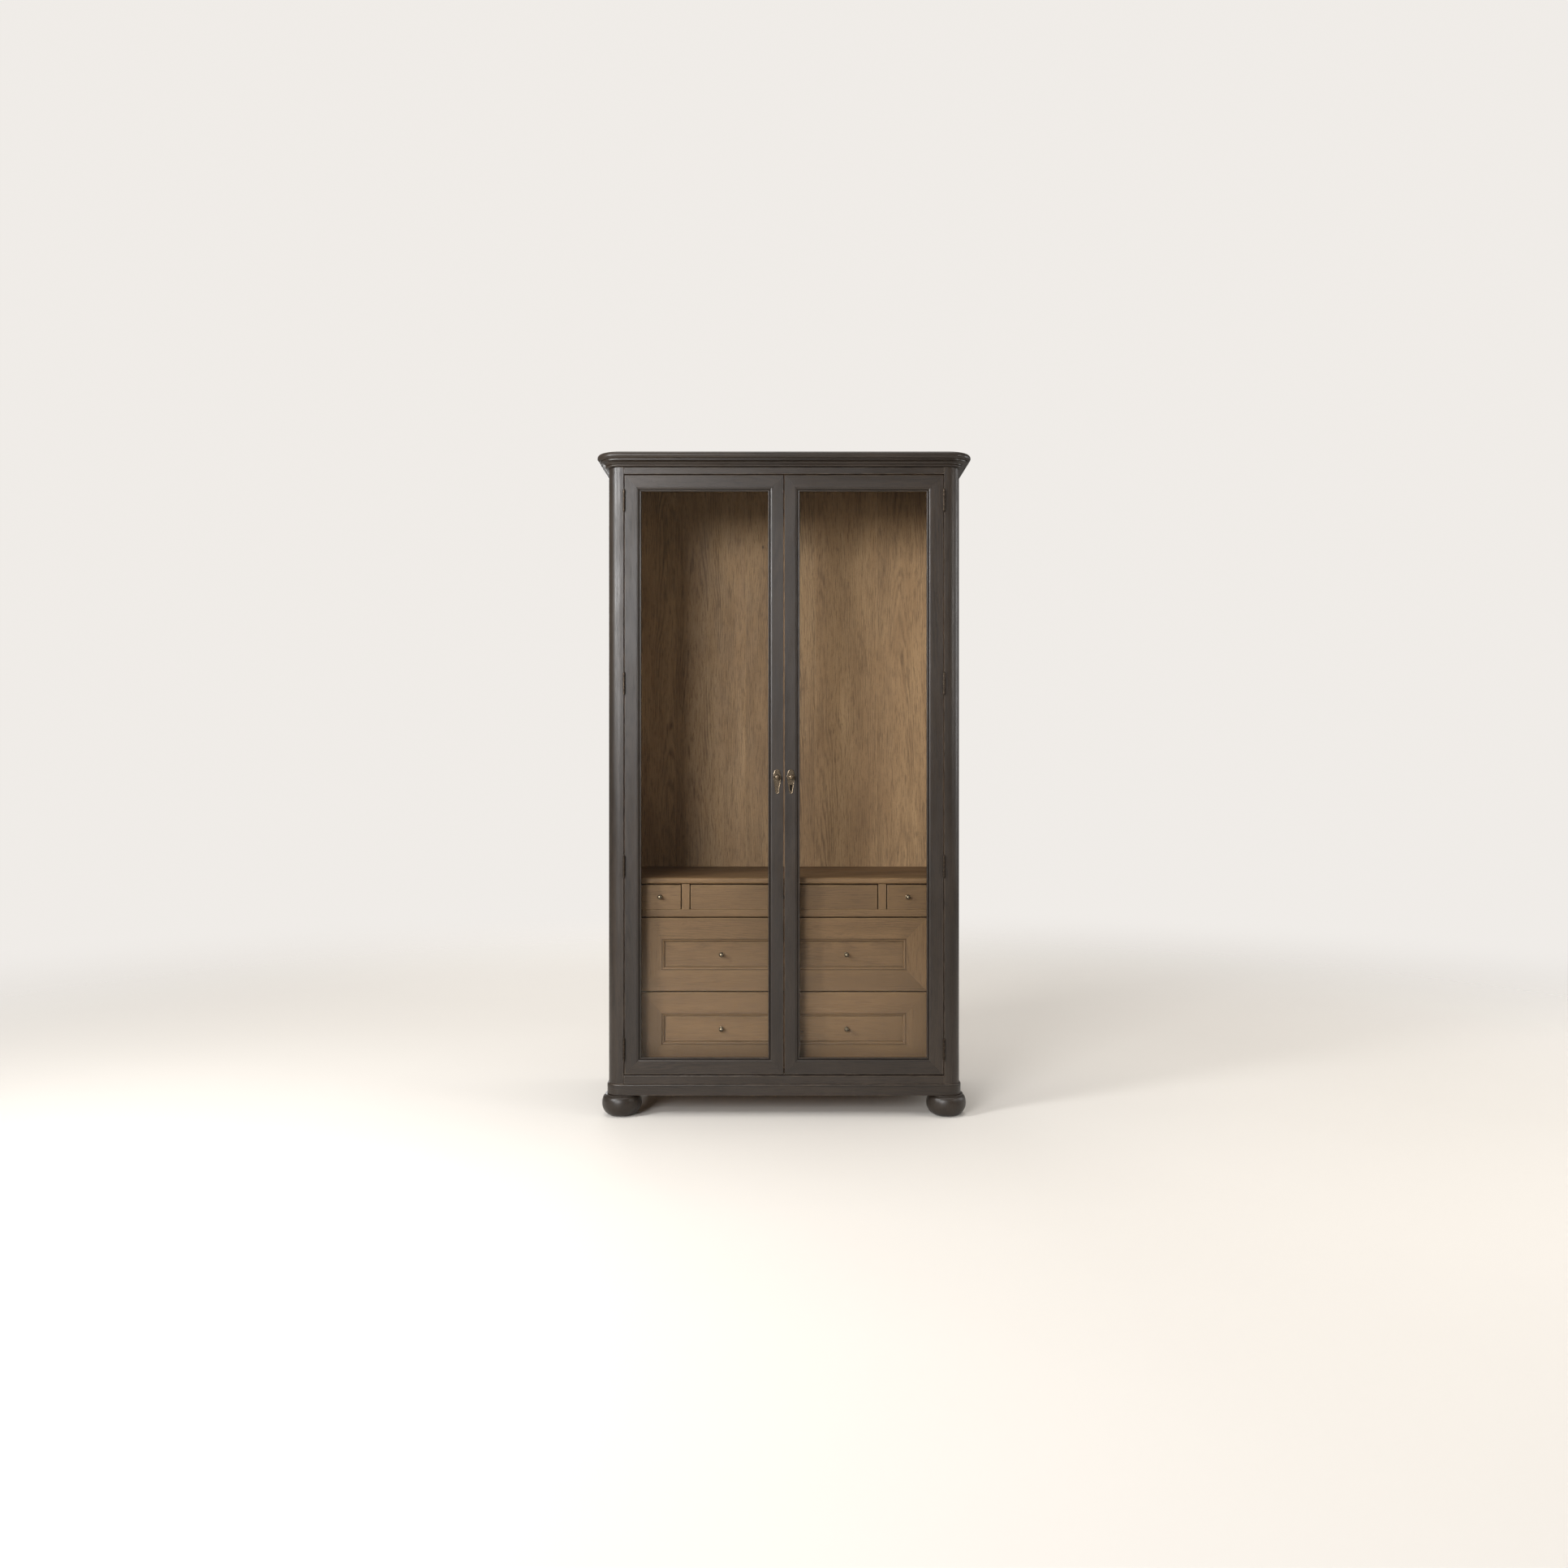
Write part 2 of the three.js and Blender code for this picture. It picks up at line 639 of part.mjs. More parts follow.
function wideDrawer(name, { front, box: boxLevels }) {
  const middle = (front[0] + front[1]) / 2;
  const half = DRAWER_HALF - 2;
  const pieces = [
    piece(`${name}_front`, "warm_oak", wideDrawerFront(front)),
    piece(`${name}_box`, "warm_oak", openBox([-half, half], DRAWER_REAR + FIT, boxLevels)),
  ];
  for (const [place, side] of Object.entries(SIDES)) {
    const turnedKnob = drawerKnob(side * WIDE_KNOB_X, DRAWER_FACE + PANEL_DEPTH, middle);
    pieces.push(piece(`${name}_${place}_knob`, "aged_brass", turnedKnob));
  }
  return pieces;
}

// ---- the whole object ------------------------------------------------------------------------

function group(name, pieces) {
  const made = new THREE.Group();
  made.name = name;
  made.add(...pieces);
  return made;
}

const armoire = new THREE.Group();
armoire.name = "armoire";
armoire.add(group("carcass", carcassPieces()));
for (const [name, side] of Object.entries(SIDES)) {
  armoire.add(group(`${name}_frame_hinges`, hingeLeaves(name, side, "frame", frameLeaf)));
  armoire.add(group(`${name}_door`, doorPieces(name, side)));
}
armoire.add(
  group("small_drawers", [
    ...smallDrawer("left_small_drawer", [-SIDE_DRAWER_X[1], -SIDE_DRAWER_X[0]]),
    ...smallDrawer("middle_small_drawer", [-MIDDLE_HALF, MIDDLE_HALF]),
    ...smallDrawer("right_small_drawer", SIDE_DRAWER_X),
  ]),
);
for (const [place, levels] of Object.entries(WIDE_DRAWERS)) {
  armoire.add(group(`${place}_wide_drawer_group`, wideDrawer(`${place}_wide_drawer`, levels)));
}

export default armoire;
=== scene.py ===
import json
import math
import random

import bmesh
import bpy
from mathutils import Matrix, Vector
from mathutils.geometry import tessellate_polygon


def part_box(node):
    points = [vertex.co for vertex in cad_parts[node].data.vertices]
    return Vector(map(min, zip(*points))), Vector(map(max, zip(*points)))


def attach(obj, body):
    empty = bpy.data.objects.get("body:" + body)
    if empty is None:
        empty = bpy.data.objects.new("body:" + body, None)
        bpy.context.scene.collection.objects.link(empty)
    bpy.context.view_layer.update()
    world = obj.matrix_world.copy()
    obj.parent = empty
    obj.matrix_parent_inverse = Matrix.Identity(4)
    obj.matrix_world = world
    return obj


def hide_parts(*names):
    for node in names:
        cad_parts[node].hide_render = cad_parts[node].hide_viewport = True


# A tall glazed armoire in dark oak, built piece by piece around its CAD part. Lengths are in metres.

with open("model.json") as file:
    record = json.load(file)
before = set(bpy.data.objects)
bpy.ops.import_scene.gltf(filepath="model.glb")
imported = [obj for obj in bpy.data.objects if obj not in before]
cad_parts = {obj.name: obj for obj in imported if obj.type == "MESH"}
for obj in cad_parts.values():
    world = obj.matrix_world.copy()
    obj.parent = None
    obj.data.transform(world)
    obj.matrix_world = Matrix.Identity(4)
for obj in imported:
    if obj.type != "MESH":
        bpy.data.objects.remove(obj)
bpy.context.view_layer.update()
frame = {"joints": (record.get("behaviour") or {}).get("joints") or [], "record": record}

MM = 0.001
HAIR = 0.1 * MM  # the gap left between boards that touch
SIDES = {"left": -1, "right": 1}
SMALL_DRAWERS = ("left", "middle", "right")
WIDE_DRAWERS = ("upper", "lower")
FOOT_NODES = ("front_left_foot", "front_right_foot", "rear_left_foot", "rear_right_foot")
X, Y, Z = 0, 1, 2
BODY_OF = {n: body for body, nodes in frame["record"]["behaviour"]["bodies"].items() for n in nodes}
SEED_SPAN = 60  # board seeds are spread from 0 to this
WIDTH_SPREAD = 0.25  # how far one board's width may be from the mean, as a share of it
BOARD_EASE = 0.5 * MM
SHARP_ANGLE = math.radians(21)
rng = random.Random(11)

# The planes of the case, read from the frame.
POST_LO, POST_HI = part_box("right_post")
FRONT = POST_LO.y
BODY_HALF = POST_HI.x
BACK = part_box("right_side_panel")[1].y
CORNER_RADIUS = 45 * MM


# ---- mesh code --------------------------------------------------------------------------------


class Timber:
    """One piece's vertices and faces, gathered board by board, with each board's grain.

    Every vertex carries three attributes: "grain", its place in its own board with the grain along
    the first axis, "half", that board's half size on the same axes, and "seed", the board's number.
    """

    def __init__(self):
        self.points, self.faces = [], []
        self.grain, self.half, self.seed = [], [], []

    def add(self, points, faces, along=Z, grain=None):
        start = len(self.points)
        points = [Vector(p) for p in points]
        self.points += points
        self.faces += [[start + i for i in face] for face in faces]
        across = [a for a in (X, Z, Y) if a != along]
        order = (along, *across)
        if grain is None:
            lo = [min(p[a] for p in points) for a in order]
            hi = [max(p[a] for p in points) for a in order]
            middle = [(a + b) / 2 for a, b in zip(lo, hi)]
            grain = [[p[a] - m for a, m in zip(order, middle)] for p in points]
        half = [max(abs(g[i]) for g in grain) for i in range(3)]
        self.grain += grain
        self.half += [half] * len(points)
        self.seed += [rng.uniform(0, SEED_SPAN)] * len(points)
        return self

    def mesh(self, name):
        mesh = bpy.data.meshes.new(name)
        mesh.from_pydata(self.points, [], self.faces)
        for label, values in (("grain", self.grain), ("half", self.half)):
            attribute = mesh.attributes.new(label, "FLOAT_VECTOR", "POINT")
            attribute.data.foreach_set("vector", [c for value in values for c in value])
        mesh.attributes.new("seed", "FLOAT", "POINT").data.foreach_set("value", self.seed)
        shape = bmesh.new()
        shape.from_mesh(mesh)
        bmesh.ops.recalc_face_normals(shape, faces=shape.faces)
        shape.to_mesh(mesh)
        shape.free()
        mesh.shade_smooth()
        mesh.set_sharp_from_angle(angle=SHARP_ANGLE)
        return mesh


def block(timber, lo, hi, along, ease=1.0 * MM):
    """A board with eased edges between two corners, its grain along one axis."""
    size = [abs(b - a) for a, b in zip(lo, hi)]
    middle = [(a + b) / 2 for a, b in zip(lo, hi)]
    shape = bmesh.new()
    bmesh.ops.create_cube(shape, size=1)
    for v in shape.verts:
        v.co = [c * s + m for c, s, m in zip(v.co, size, middle)]
    ease = min(ease, 0.45 * min(size))  # less than half, so that opposite edges stay apart
    bmesh.ops.bevel(shape, geom=shape.edges[:], offset=ease, segments=2, profile=0.5, affect="EDGES")
    shape.verts.index_update()
    timber.add([v.co.copy() for v in shape.verts], [[v.index for v in f.verts] for f in shape.faces], along)
    shape.free()
    return timber


def boards(timber, lo, hi, along, across, count):
    """Boards of uneven width laid side by side between two corners."""
    cuts = [0.0]
    for _ in range(count):
        cuts.append(cuts[-1] + 1 + rng.uniform(-WIDTH_SPREAD, WIDTH_SPREAD))
    span = hi[across] - lo[across]
    for a, b in zip(cuts, cuts[1:]):
        start, end = list(lo), list(hi)
        start[across] = lo[across] + span * a / cuts[-1] + HAIR
        end[across] = lo[across] + span * b / cuts[-1] - HAIR
        block(timber, start, end, along, BOARD_EASE)
    return timber


def band(start, end, count):
    """The four-sided faces between two rings of points, by the index of each ring's first point."""
    following = [(i, (i + 1) % count) for i in range(count)]
    return [[start + i, start + j, end + j, end + i] for i, j in following]


def skin(rings):
    """Points and faces of a tube through rings of equal length, capped at its ends."""
    count = len(rings[0])
    last = (len(rings) - 1) * count
    points = [p for ring in rings for p in ring]
    faces = []
    for start in range(0, last, count):
        faces += band(start, start + count, count)
    faces += [list(range(count))[::-1], list(range(last, last + count))]
    return points, faces


def extruded(timber, outline, axis, start, end, along):
    """An outline raised along an axis. The outline's two values are on the other two axes, in order."""
    across = [a for a in (X, Y, Z) if a != axis]
    rings = []
    for level in (start, end):
        ring = []
        for pair in outline:
            point = [0, 0, 0]
            point[axis], point[across[0]], point[across[1]] = level, *pair
            ring.append(point)
        rings.append(ring)
    return timber.add(*skin(rings), along)


def turned(timber, profile, centre, axis, steps):
    """A turned solid. The profile's [radius, height] points start and end on the axis."""
    points, faces = [], []
    towards = -1 if axis == Y else 1  # a knob's height runs forward, along -Y
    ring_of = []
    for radius, height in profile:
        count = steps if radius > 1e-9 else 1
        ring = []
        for i in range(count):
            angle = math.tau * i / steps
            a, b = radius * math.cos(angle), radius * math.sin(angle)
            offset = (a, b, height) if axis == Z else (a, towards * height, b)
            ring.append(len(points))
            points.append(Vector(centre) + Vector(offset))
        ring_of.append(ring)
    for low, high in zip(ring_of, ring_of[1:]):
        for i in range(steps):
            j = (i + 1) % steps
            corners = [low[i % len(low)], low[j % len(low)], high[j % len(high)], high[i % len(high)]]
            faces.append(list(dict.fromkeys(corners)))
    return timber.add(points, faces)


def arc(centre, radius, start, end, steps):
    """Points on an ellipse's arc. Angles are in degrees, and radius is one value or a pair."""
    rx, ry = radius if isinstance(radius, tuple) else (radius, radius)
    angles = [math.radians(start + (end - start) * i / steps) for i in range(steps + 1)]
    return [(centre[0] + rx * math.cos(a), centre[1] + ry * math.sin(a)) for a in angles]


def member(timber, profile, face, axis, outer, inner):
    """One mitred member along an axis. outer and inner are its two edges across, with their ends."""
    (across0, lo0, hi0), (across1, lo1, hi1) = outer, inner
    width = max(inward for inward, _ in profile)
    rings = []
    for end0, end1, gap in ((lo0, lo1, HAIR), (hi0, hi1, -HAIR)):
        ring = []
        for inward, depth in profile:
            share = inward / width
            across = across0 + (across1 - across0) * share
            along = end0 + (end1 - end0) * share + gap
            place = (across, along) if axis == Z else (along, across)
            ring.append((place[0], face + depth, place[1]))
        rings.append(ring)
    timber.add(*skin(rings), axis)


def members(lo, hi, inner_lo, inner_hi):
    """The four members between two rectangles (x, z), each as its axis, outer edge and inner edge."""
    return (
        (Z, (lo[0], lo[1], hi[1]), (inner_lo[0], inner_lo[1], inner_hi[1])),
        (Z, (hi[0], lo[1], hi[1]), (inner_hi[0], inner_lo[1], inner_hi[1])),
        (X, (lo[1], lo[0], hi[0]), (inner_lo[1], inner_lo[0], inner_hi[0])),
        (X, (hi[1], lo[0], hi[0]), (inner_hi[1], inner_lo[0], inner_hi[0])),
    )


def mitred(timber, lo, hi, profile, face):
    """Four mitred members inside a rectangle (x, z), with a profile of (distance inward, depth)."""
    width = max(inward for inward, _ in profile)
    inner_lo, inner_hi = [v + width for v in lo], [v - width for v in hi]
    for axis, outer, inner in members(lo, hi, inner_lo, inner_hi):
        member(timber, profile, face, axis, outer, inner)
    return timber


def within(span):
    """A range with a hair's gap left at each end."""
    return span[0] + HAIR, span[1] - HAIR


def mirrored(side, x, y, z):
    """Two corners of a box given by its ranges on the right, or of its mirror image on the left."""
    x0, x1 = sorted((side * x[0], side * x[1]))
    return (x0, y[0], z[0]), (x1, y[1], z[1])


def case_path(projection):
    """The case's plan as (x, y) points, open at the back and pushed out from its faces."""
    radius = CORNER_RADIUS + projection
    half = BODY_HALF - CORNER_RADIUS
    front = FRONT + CORNER_RADIUS
    places = [(-half - radius, BACK)]
    places += arc((-half, front), radius, 180, 270, 14)
    places += arc((half, front), radius, 270, 360, 14)
    places += [(half + radius, BACK)]
    return places


def swept_round_case(timber, profile):
    """A moulding of (projection, z) points carried round the front and sides of the case."""
    paths = [case_path(projection) for projection, _ in profile]
    middle = case_path(0)
    lengths = [0.0]
    for a, b in zip(middle, middle[1:]):
        lengths.append(lengths[-1] + math.dist(a, b))
    centre = [(max(p[i] for p in profile) + min(p[i] for p in profile)) / 2 for i in (0, 1)]
    rings, grain = [], []
    for i, length in enumerate(lengths):
        rings.append([(path[i][0], path[i][1], z) for path, (_, z) in zip(paths, profile)])
        grain += [(length - lengths[-1] / 2, z - centre[1], p - centre[0]) for p, z in profile]
    points, faces = skin(rings)
    return timber.add(points, faces, X, grain)


def show(node, part, timber, material):
    """Makes the piece, which rides on its CAD node's body and stands for that node."""
    name = f"{node}.{part}"
    piece = bpy.data.objects.new(name, timber.mesh(name))
    bpy.context.scene.collection.objects.link(piece)
    piece.data.materials.append(material)
    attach(piece, BODY_OF[node])
    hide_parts(node)
    return piece


# ---- materials --------------------------------------------------------------------------------


class Graph:
    """A material's node tree, with short calls for the nodes used here."""

    def __init__(self, name):
        self.material = bpy.data.materials.new(name)
        self.material.use_nodes = True
        self.tree = self.material.node_tree
        self.tree.nodes.clear()

    def node(self, kind, inputs=None, **settings):
        node = self.tree.nodes.new(kind)
        for key, value in settings.items():
            setattr(node, key, value)
        for key, value in (inputs or {}).items():
            if isinstance(value, bpy.types.NodeSocket):
                self.tree.links.new(value, node.inputs[key])
            else:
                node.inputs[key].default_value = value
        return node

    def attribute(self, name):
        return self.node("ShaderNodeAttribute", attribute_name=name, attribute_type="GEOMETRY")

    def math(self, operation, a, b=0.0, c=0.0, clamp=False):
        node = self.node("ShaderNodeMath", {0: a, 1: b, 2: c}, operation=operation, use_clamp=clamp)
        return node.outputs[0]

    def vector(self, operation, a, b=(0, 0, 0)):
        second = "Scale" if operation == "SCALE" else 1
        result = "Value" if operation == "LENGTH" else "Vector"
        node = self.node("ShaderNodeVectorMath", {0: a, second: b}, operation=operation)
        return node.outputs[result]

    def noise(self, vector, stretch, detail=3.0, roughness=0.55, output="Fac"):
        """Noise with its own scale on each axis, in cycles to the metre."""
        coordinates = self.vector("MULTIPLY", vector, stretch)
        inputs = {"Vector": coordinates, "Scale": 1.0, "Detail": detail, "Roughness": roughness}
        return self.node("ShaderNodeTexNoise", inputs).outputs[output]

    def remap(self, value, low, high, to_low=0.0, to_high=1.0):
        inputs = {"Value": value, "From Min": low, "From Max": high, "To Min": to_low, "To Max": to_high}
        return self.node("ShaderNodeMapRange", inputs, interpolation_type="SMOOTHSTEP").outputs[0]

    def mix(self, factor, a, b):
        return self.node("ShaderNodeMix", {0: factor, 6: a, 7: b}, data_type="RGBA").outputs[2]

    def finish(self, shader):
        output = self.node("ShaderNodeOutputMaterial")
        self.tree.links.new(shader, output.inputs["Surface"])
        return self.material


def colour(red, green, blue):
    """An sRGB colour from 0 to 255, as the linear colour that a shader takes."""
    channels = []
    for value in (red, green, blue):
        c = value / 255
        channels.append(c / 12.92 if c <= 0.04045 else ((c + 0.055) / 1.055) ** 2.4)
    return (*channels, 1.0)


def scattered(g, seed, factor):
    """A number from 0 to 1 that differs from board to board."""
    return g.math("FRACT", g.math("MULTIPLY", seed, factor))


def bend(g, place, stretch, reach):
    """A shift across the grain, which bends straight grain by up to half the reach."""
    shift = g.vector("SUBTRACT", g.noise(place, stretch, 2.0, output="Color"), (0.5, 0.5, 0.5))
    return g.vector("MULTIPLY", shift, (0.0, reach, reach))


def growth_rings(g, place, seed):
    """Waves round a pith that lies behind each board's face, a little askew to its length."""
    ring_width = 5.2 * MM
    pith_across = g.math("MULTIPLY", g.math("SUBTRACT", scattered(g, seed, 5.31), 0.5), 0.22)
    pith_depth = g.math("ADD", g.math("MULTIPLY", scattered(g, seed, 3.77), 0.05), 0.05)
    part = g.node("ShaderNodeSeparateXYZ", {0: place}).outputs
    across = g.math("ADD", part[1], pith_across)
    depth = g.math("ADD", g.math("ADD", part[2], pith_depth), g.math("MULTIPLY", part[0], 0.035))
    radius = g.vector("LENGTH", g.node("ShaderNodeCombineXYZ", {0: 0.0, 1: across, 2: depth}).outputs[0])
    phase = g.math("MULTIPLY", radius, math.tau / ring_width)
    return g.math("MULTIPLY_ADD", g.math("SINE", phase), 0.5, 0.5)


def edge_wear(g, own, place, half):
    """How worn the wood is: 1 along a board's edges, 0 a few millimetres in, with a ragged limit."""
    # Of the three distances to the board's faces, the middle one is the way to its nearest edge.
    inward = g.vector("SUBTRACT", half, g.vector("ABSOLUTE", place))
    gap = g.node("ShaderNodeSeparateXYZ", {0: inward}).outputs
    lower = g.math("MINIMUM", gap[0], gap[1])
    upper = g.math("MAXIMUM", gap[0], gap[1])
    edge = g.math("MAXIMUM", lower, g.math("MINIMUM", upper, gap[2]))
    rub = g.noise(own, (24, 160, 160), 4.0, 0.65)
    reach = g.math("MULTIPLY", g.remap(rub, 0.35, 0.75), 4.5 * MM)
    return g.math("SUBTRACT", 1.0, g.math("DIVIDE", edge, g.math("ADD", reach, 0.6 * MM)), clamp=True)


def oak(name, tones, wear, figure, gloss):
    """Open-grained oak. The grain runs along each board's own length.

    tones are the light, middle, dark and pore colours, wear is the colour at worn edges and how much
    of it shows, figure is how strong the rings and dashes are, and gloss is the lowest and highest
    roughness.
    """
    g = Graph(name)
    light, middle, dark, pore = tones
    place = g.attribute("grain").outputs["Vector"]
    half = g.attribute("half").outputs["Vector"]
    seed = g.attribute("seed").outputs["Fac"]

    own = g.vector("ADD", place, g.node("ShaderNodeCombineXYZ", {0: seed, 1: seed, 2: seed}).outputs[0])
    drift = bend(g, own, (2.2, 9, 9), 30 * MM)
    ripple = bend(g, own, (11, 60, 60), 4.5 * MM)
    bent = g.vector("ADD", g.vector("ADD", own, drift), ripple)
    ring = growth_rings(g, g.vector("ADD", g.vector("ADD", place, drift), ripple), seed)
    ring_strength = g.remap(g.noise(own, (2.6, 22, 22), 3.0), 0.38, 0.68)
    rings = g.math("MULTIPLY", g.math("POWER", ring, 1.7), ring_strength)

    dashes = g.remap(g.noise(bent, (17, 330, 330), 3.0, 0.65), 0.50, 0.64)
    long_streaks = g.remap(g.noise(bent, (2.2, 70, 70), 3.0, 0.55), 0.35, 0.70)
    fibres = g.noise(bent, (45, 1500, 1500), 2.0, 0.6)
    pores = g.remap(g.noise(bent, (95, 2100, 2100), 2.0, 0.5), 0.60, 0.70)
    pores = g.math("MULTIPLY", pores, g.math("MULTIPLY_ADD", ring, 0.7, 0.3))
    clouds = g.noise(own, (1.4, 5, 5), 3.0, 0.6)

    tint = g.mix(g.remap(clouds, 0.3, 0.7), light, middle)
    tint = g.mix(g.math("MULTIPLY", long_streaks, 0.55), tint, middle)
    tint = g.mix(g.math("MULTIPLY", rings, 0.75 * figure), tint, dark)
    tint = g.mix(g.math("MULTIPLY", dashes, 0.80 * figure), tint, dark)
    tint = g.mix(g.math("MULTIPLY", g.remap(fibres, 0.35, 0.75), 0.30 * figure), tint, dark)
    tint = g.mix(g.math("MULTIPLY", pores, 0.7), tint, pore)
    board_tone = g.math("MULTIPLY_ADD", scattered(g, seed, 9.73), 0.16, 0.90)
    tint = g.vector("SCALE", tint, board_tone)
    worn_colour, worn_share = wear
    tint = g.mix(g.math("MULTIPLY", edge_wear(g, own, place, half), worn_share), tint, worn_colour)

    # A few dark pin knots.
    spots = g.node("ShaderNodeTexVoronoi", {"Vector": g.vector("MULTIPLY", own, (5, 9, 9)), "Scale": 1.0})
    knot = g.math("SUBTRACT", 1.0, g.remap(spots.outputs["Distance"], 0.015, 0.045))
    tint = g.mix(g.math("MULTIPLY", knot, 0.8), tint, pore)

    smooth, rough = gloss
    haze = g.noise(own, (6, 22, 22), 4.0, 0.6)
    roughness = g.remap(haze, 0.3, 0.7, smooth, rough)
    roughness = g.math("ADD", roughness, g.math("MULTIPLY", pores, 0.18))
    roughness = g.math("ADD", roughness, g.math("MULTIPLY", dashes, 0.05), clamp=True)

    height = g.math("SUBTRACT", 1.0, g.math("MULTIPLY", pores, 0.9))
    height = g.math("SUBTRACT", height, g.math("MULTIPLY", dashes, 0.45))
    height = g.math("ADD", height, g.math("MULTIPLY", fibres, 0.5))
    height = g.math("SUBTRACT", height, g.math("MULTIPLY", knot, 1.5))
    bump = g.node("ShaderNodeBump", {"Strength": 0.45, "Distance": 0.25 * MM, "Height": height})
    inputs = {"Base Color": tint, "Roughness": roughness, "Normal": bump.outputs[0], "IOR": 1.40}
    return g.finish(g.node("ShaderNodeBsdfPrincipled", inputs).outputs[0])


GRIME = colour(40, 31, 24)


def aged_brass(name, bright, dull, rubbed, gloss):
    """Brass gone brown, with scuffs in the rubbed colour and dark specks in the hollows."""
    g = Graph(name)
    place = g.node("ShaderNodeTexCoord").outputs["Object"]
    clouds = g.noise(place, (140, 140, 140), 4.0, 0.6)
    specks = g.remap(g.noise(place, (900, 900, 900), 3.0, 0.6), 0.55, 0.70)
    scuffs = g.noise(place, (300, 300, 2600), 2.0, 0.6)
    tint = g.mix(g.remap(clouds, 0.35, 0.65), bright, dull)
    tint = g.mix(g.math("MULTIPLY", specks, 0.6), tint, GRIME)
    tint = g.mix(g.math("MULTIPLY", g.remap(scuffs, 0.55, 0.8), 0.3), tint, rubbed)
    roughness = g.remap(clouds, 0.3, 0.7, *gloss)
    height = g.math("SUBTRACT", clouds, g.math("MULTIPLY", specks, 0.5))
    bump = g.node("ShaderNodeBump", {"Strength": 0.4, "Distance": 0.25 * MM, "Height": height})
    inputs = {"Base Color": tint, "Roughness": roughness, "Normal": bump.outputs[0], "Metallic": 0.9}
    return g.finish(g.node("ShaderNodeBsdfPrincipled", inputs).outputs[0])


def pane_glass():
    """Clear plain glass: see-through, with a soft Fresnel reflection that faint smears break up."""
    g = Graph("pane_glass")
    place = g.node("ShaderNodeTexCoord").outputs["Object"]
    smears = g.noise(place, (3.5, 3.5, 2.2), 4.0, 0.6)
    roughness = g.remap(smears, 0.4, 0.75, 0.01, 0.06)
    through = g.node("ShaderNodeBsdfTransparent", {"Color": (0.955, 0.968, 0.960, 1.0)})
    mirror = g.node("ShaderNodeBsdfGlossy", {"Roughness": roughness})
    facing = g.node("ShaderNodeLayerWeight", {"Blend": 0.5}).outputs["Facing"]
    share = g.math("MULTIPLY_ADD", g.math("POWER", facing, 5.0), 0.35, 0.012)
    mix = g.node("ShaderNodeMixShader", {0: share, 1: through.outputs[0], 2: mirror.outputs[0]})
    return g.finish(mix.outputs[0])


DARK_OAK = oak(
    "dark_oak",
    tones=(colour(54, 45, 37), colour(42, 35, 29), colour(24, 20, 17), colour(15, 13, 11)),
    wear=(colour(100, 86, 73), 0.50),
    figure=0.62,
    gloss=(0.28, 0.40),
)
WARM_OAK = oak(
    "warm_oak",
    tones=(colour(174, 139, 101), colour(147, 113, 79), colour(86, 62, 41), colour(55, 40, 26)),
    wear=(colour(190, 153, 112), 0.45),
    figure=0.72,
    gloss=(0.50, 0.62),
)
# A darker copy of the warm oak with plainer figure. Its darkness is painted shade: the drawers, shelf,
# rails and dividers take more light than the lining behind them, so they are painted darker.
SHADED_DRAWER_OAK = oak(
    "drawer_oak_painted_shade",
    tones=(colour(119, 89, 59), colour(102, 75, 48), colour(69, 49, 31), colour(43, 31, 21)),
    wear=(colour(142, 111, 77), 0.50),
    figure=0.50,
    gloss=(0.46, 0.58),
)
BRASS = aged_brass(
    "aged_brass",
    bright=colour(132, 117, 97),
    dull=colour(98, 85, 70),
    rubbed=colour(166, 150, 126),
    gloss=(0.15, 0.32),
)
HINGE_BRASS = aged_brass(
    "hinge_brass",
    bright=colour(66, 55, 44),
    dull=colour(38, 33, 28),
    rubbed=colour(112, 96, 76),
    gloss=(0.34, 0.55),
)
# Near-black and matte: painted shade for the plug behind the keyhole, standing in for the dark hole.
KEYHOLE_PAINTED_SHADE = aged_brass(
    "painted_keyhole_shade",
    bright=colour(10, 9, 8),
    dull=colour(6, 5, 5),
    rubbed=colour(14, 12, 10),
    gloss=(0.75, 0.95),
)
GLASS = pane_glass()


def dark(node, part, timber):
    """A piece in dark oak. The next two make pieces in warm oak and in brass."""
    return show(node, part, timber, DARK_OAK)


def warm(node, part, timber, material=WARM_OAK):
    return show(node, part, timber, material)


def brass(node, part, timber, material=BRASS):
    return show(node, part, timber, material)


# ---- feet, plinth and cornice -----------------------------------------------------------------


def foot(node):
    """A bun foot: a flat sole, a full round belly, a short neck and a peg."""
    lo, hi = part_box(node)
    belly = (hi.x - lo.x) / 2
    sole, neck, peg = 37 * MM, 59 * MM, 11.5 * MM
    waist, shoulder = 43 * MM, 71 * MM
    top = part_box("plinth")[0].z - 0.3 * MM
    ease, groove, chamfer = 1.5 * MM, 1 * MM, 2 * MM
    profile = [(0, 0), (sole - 2 * ease, 0), (sole, ease)]
    profile += arc((sole, waist), (belly - sole, waist - ease), -80, 0, 14)
    profile += arc((neck, waist), (belly - neck, shoulder - waist), 9, 84, 8)
    profile += [(neck - groove, shoulder + 0.8 * MM), (neck - groove, top - ease), (neck, top - groove)]
    profile += [(neck, top), (peg, top), (peg, hi.z - chamfer), (peg - chamfer, hi.z), (0, hi.z)]
    centre = ((lo.x + hi.x) / 2, (lo.y + hi.y) / 2, 0)
    dark(node, "turned_bun", turned(Timber(), profile, centre, Z, 56))


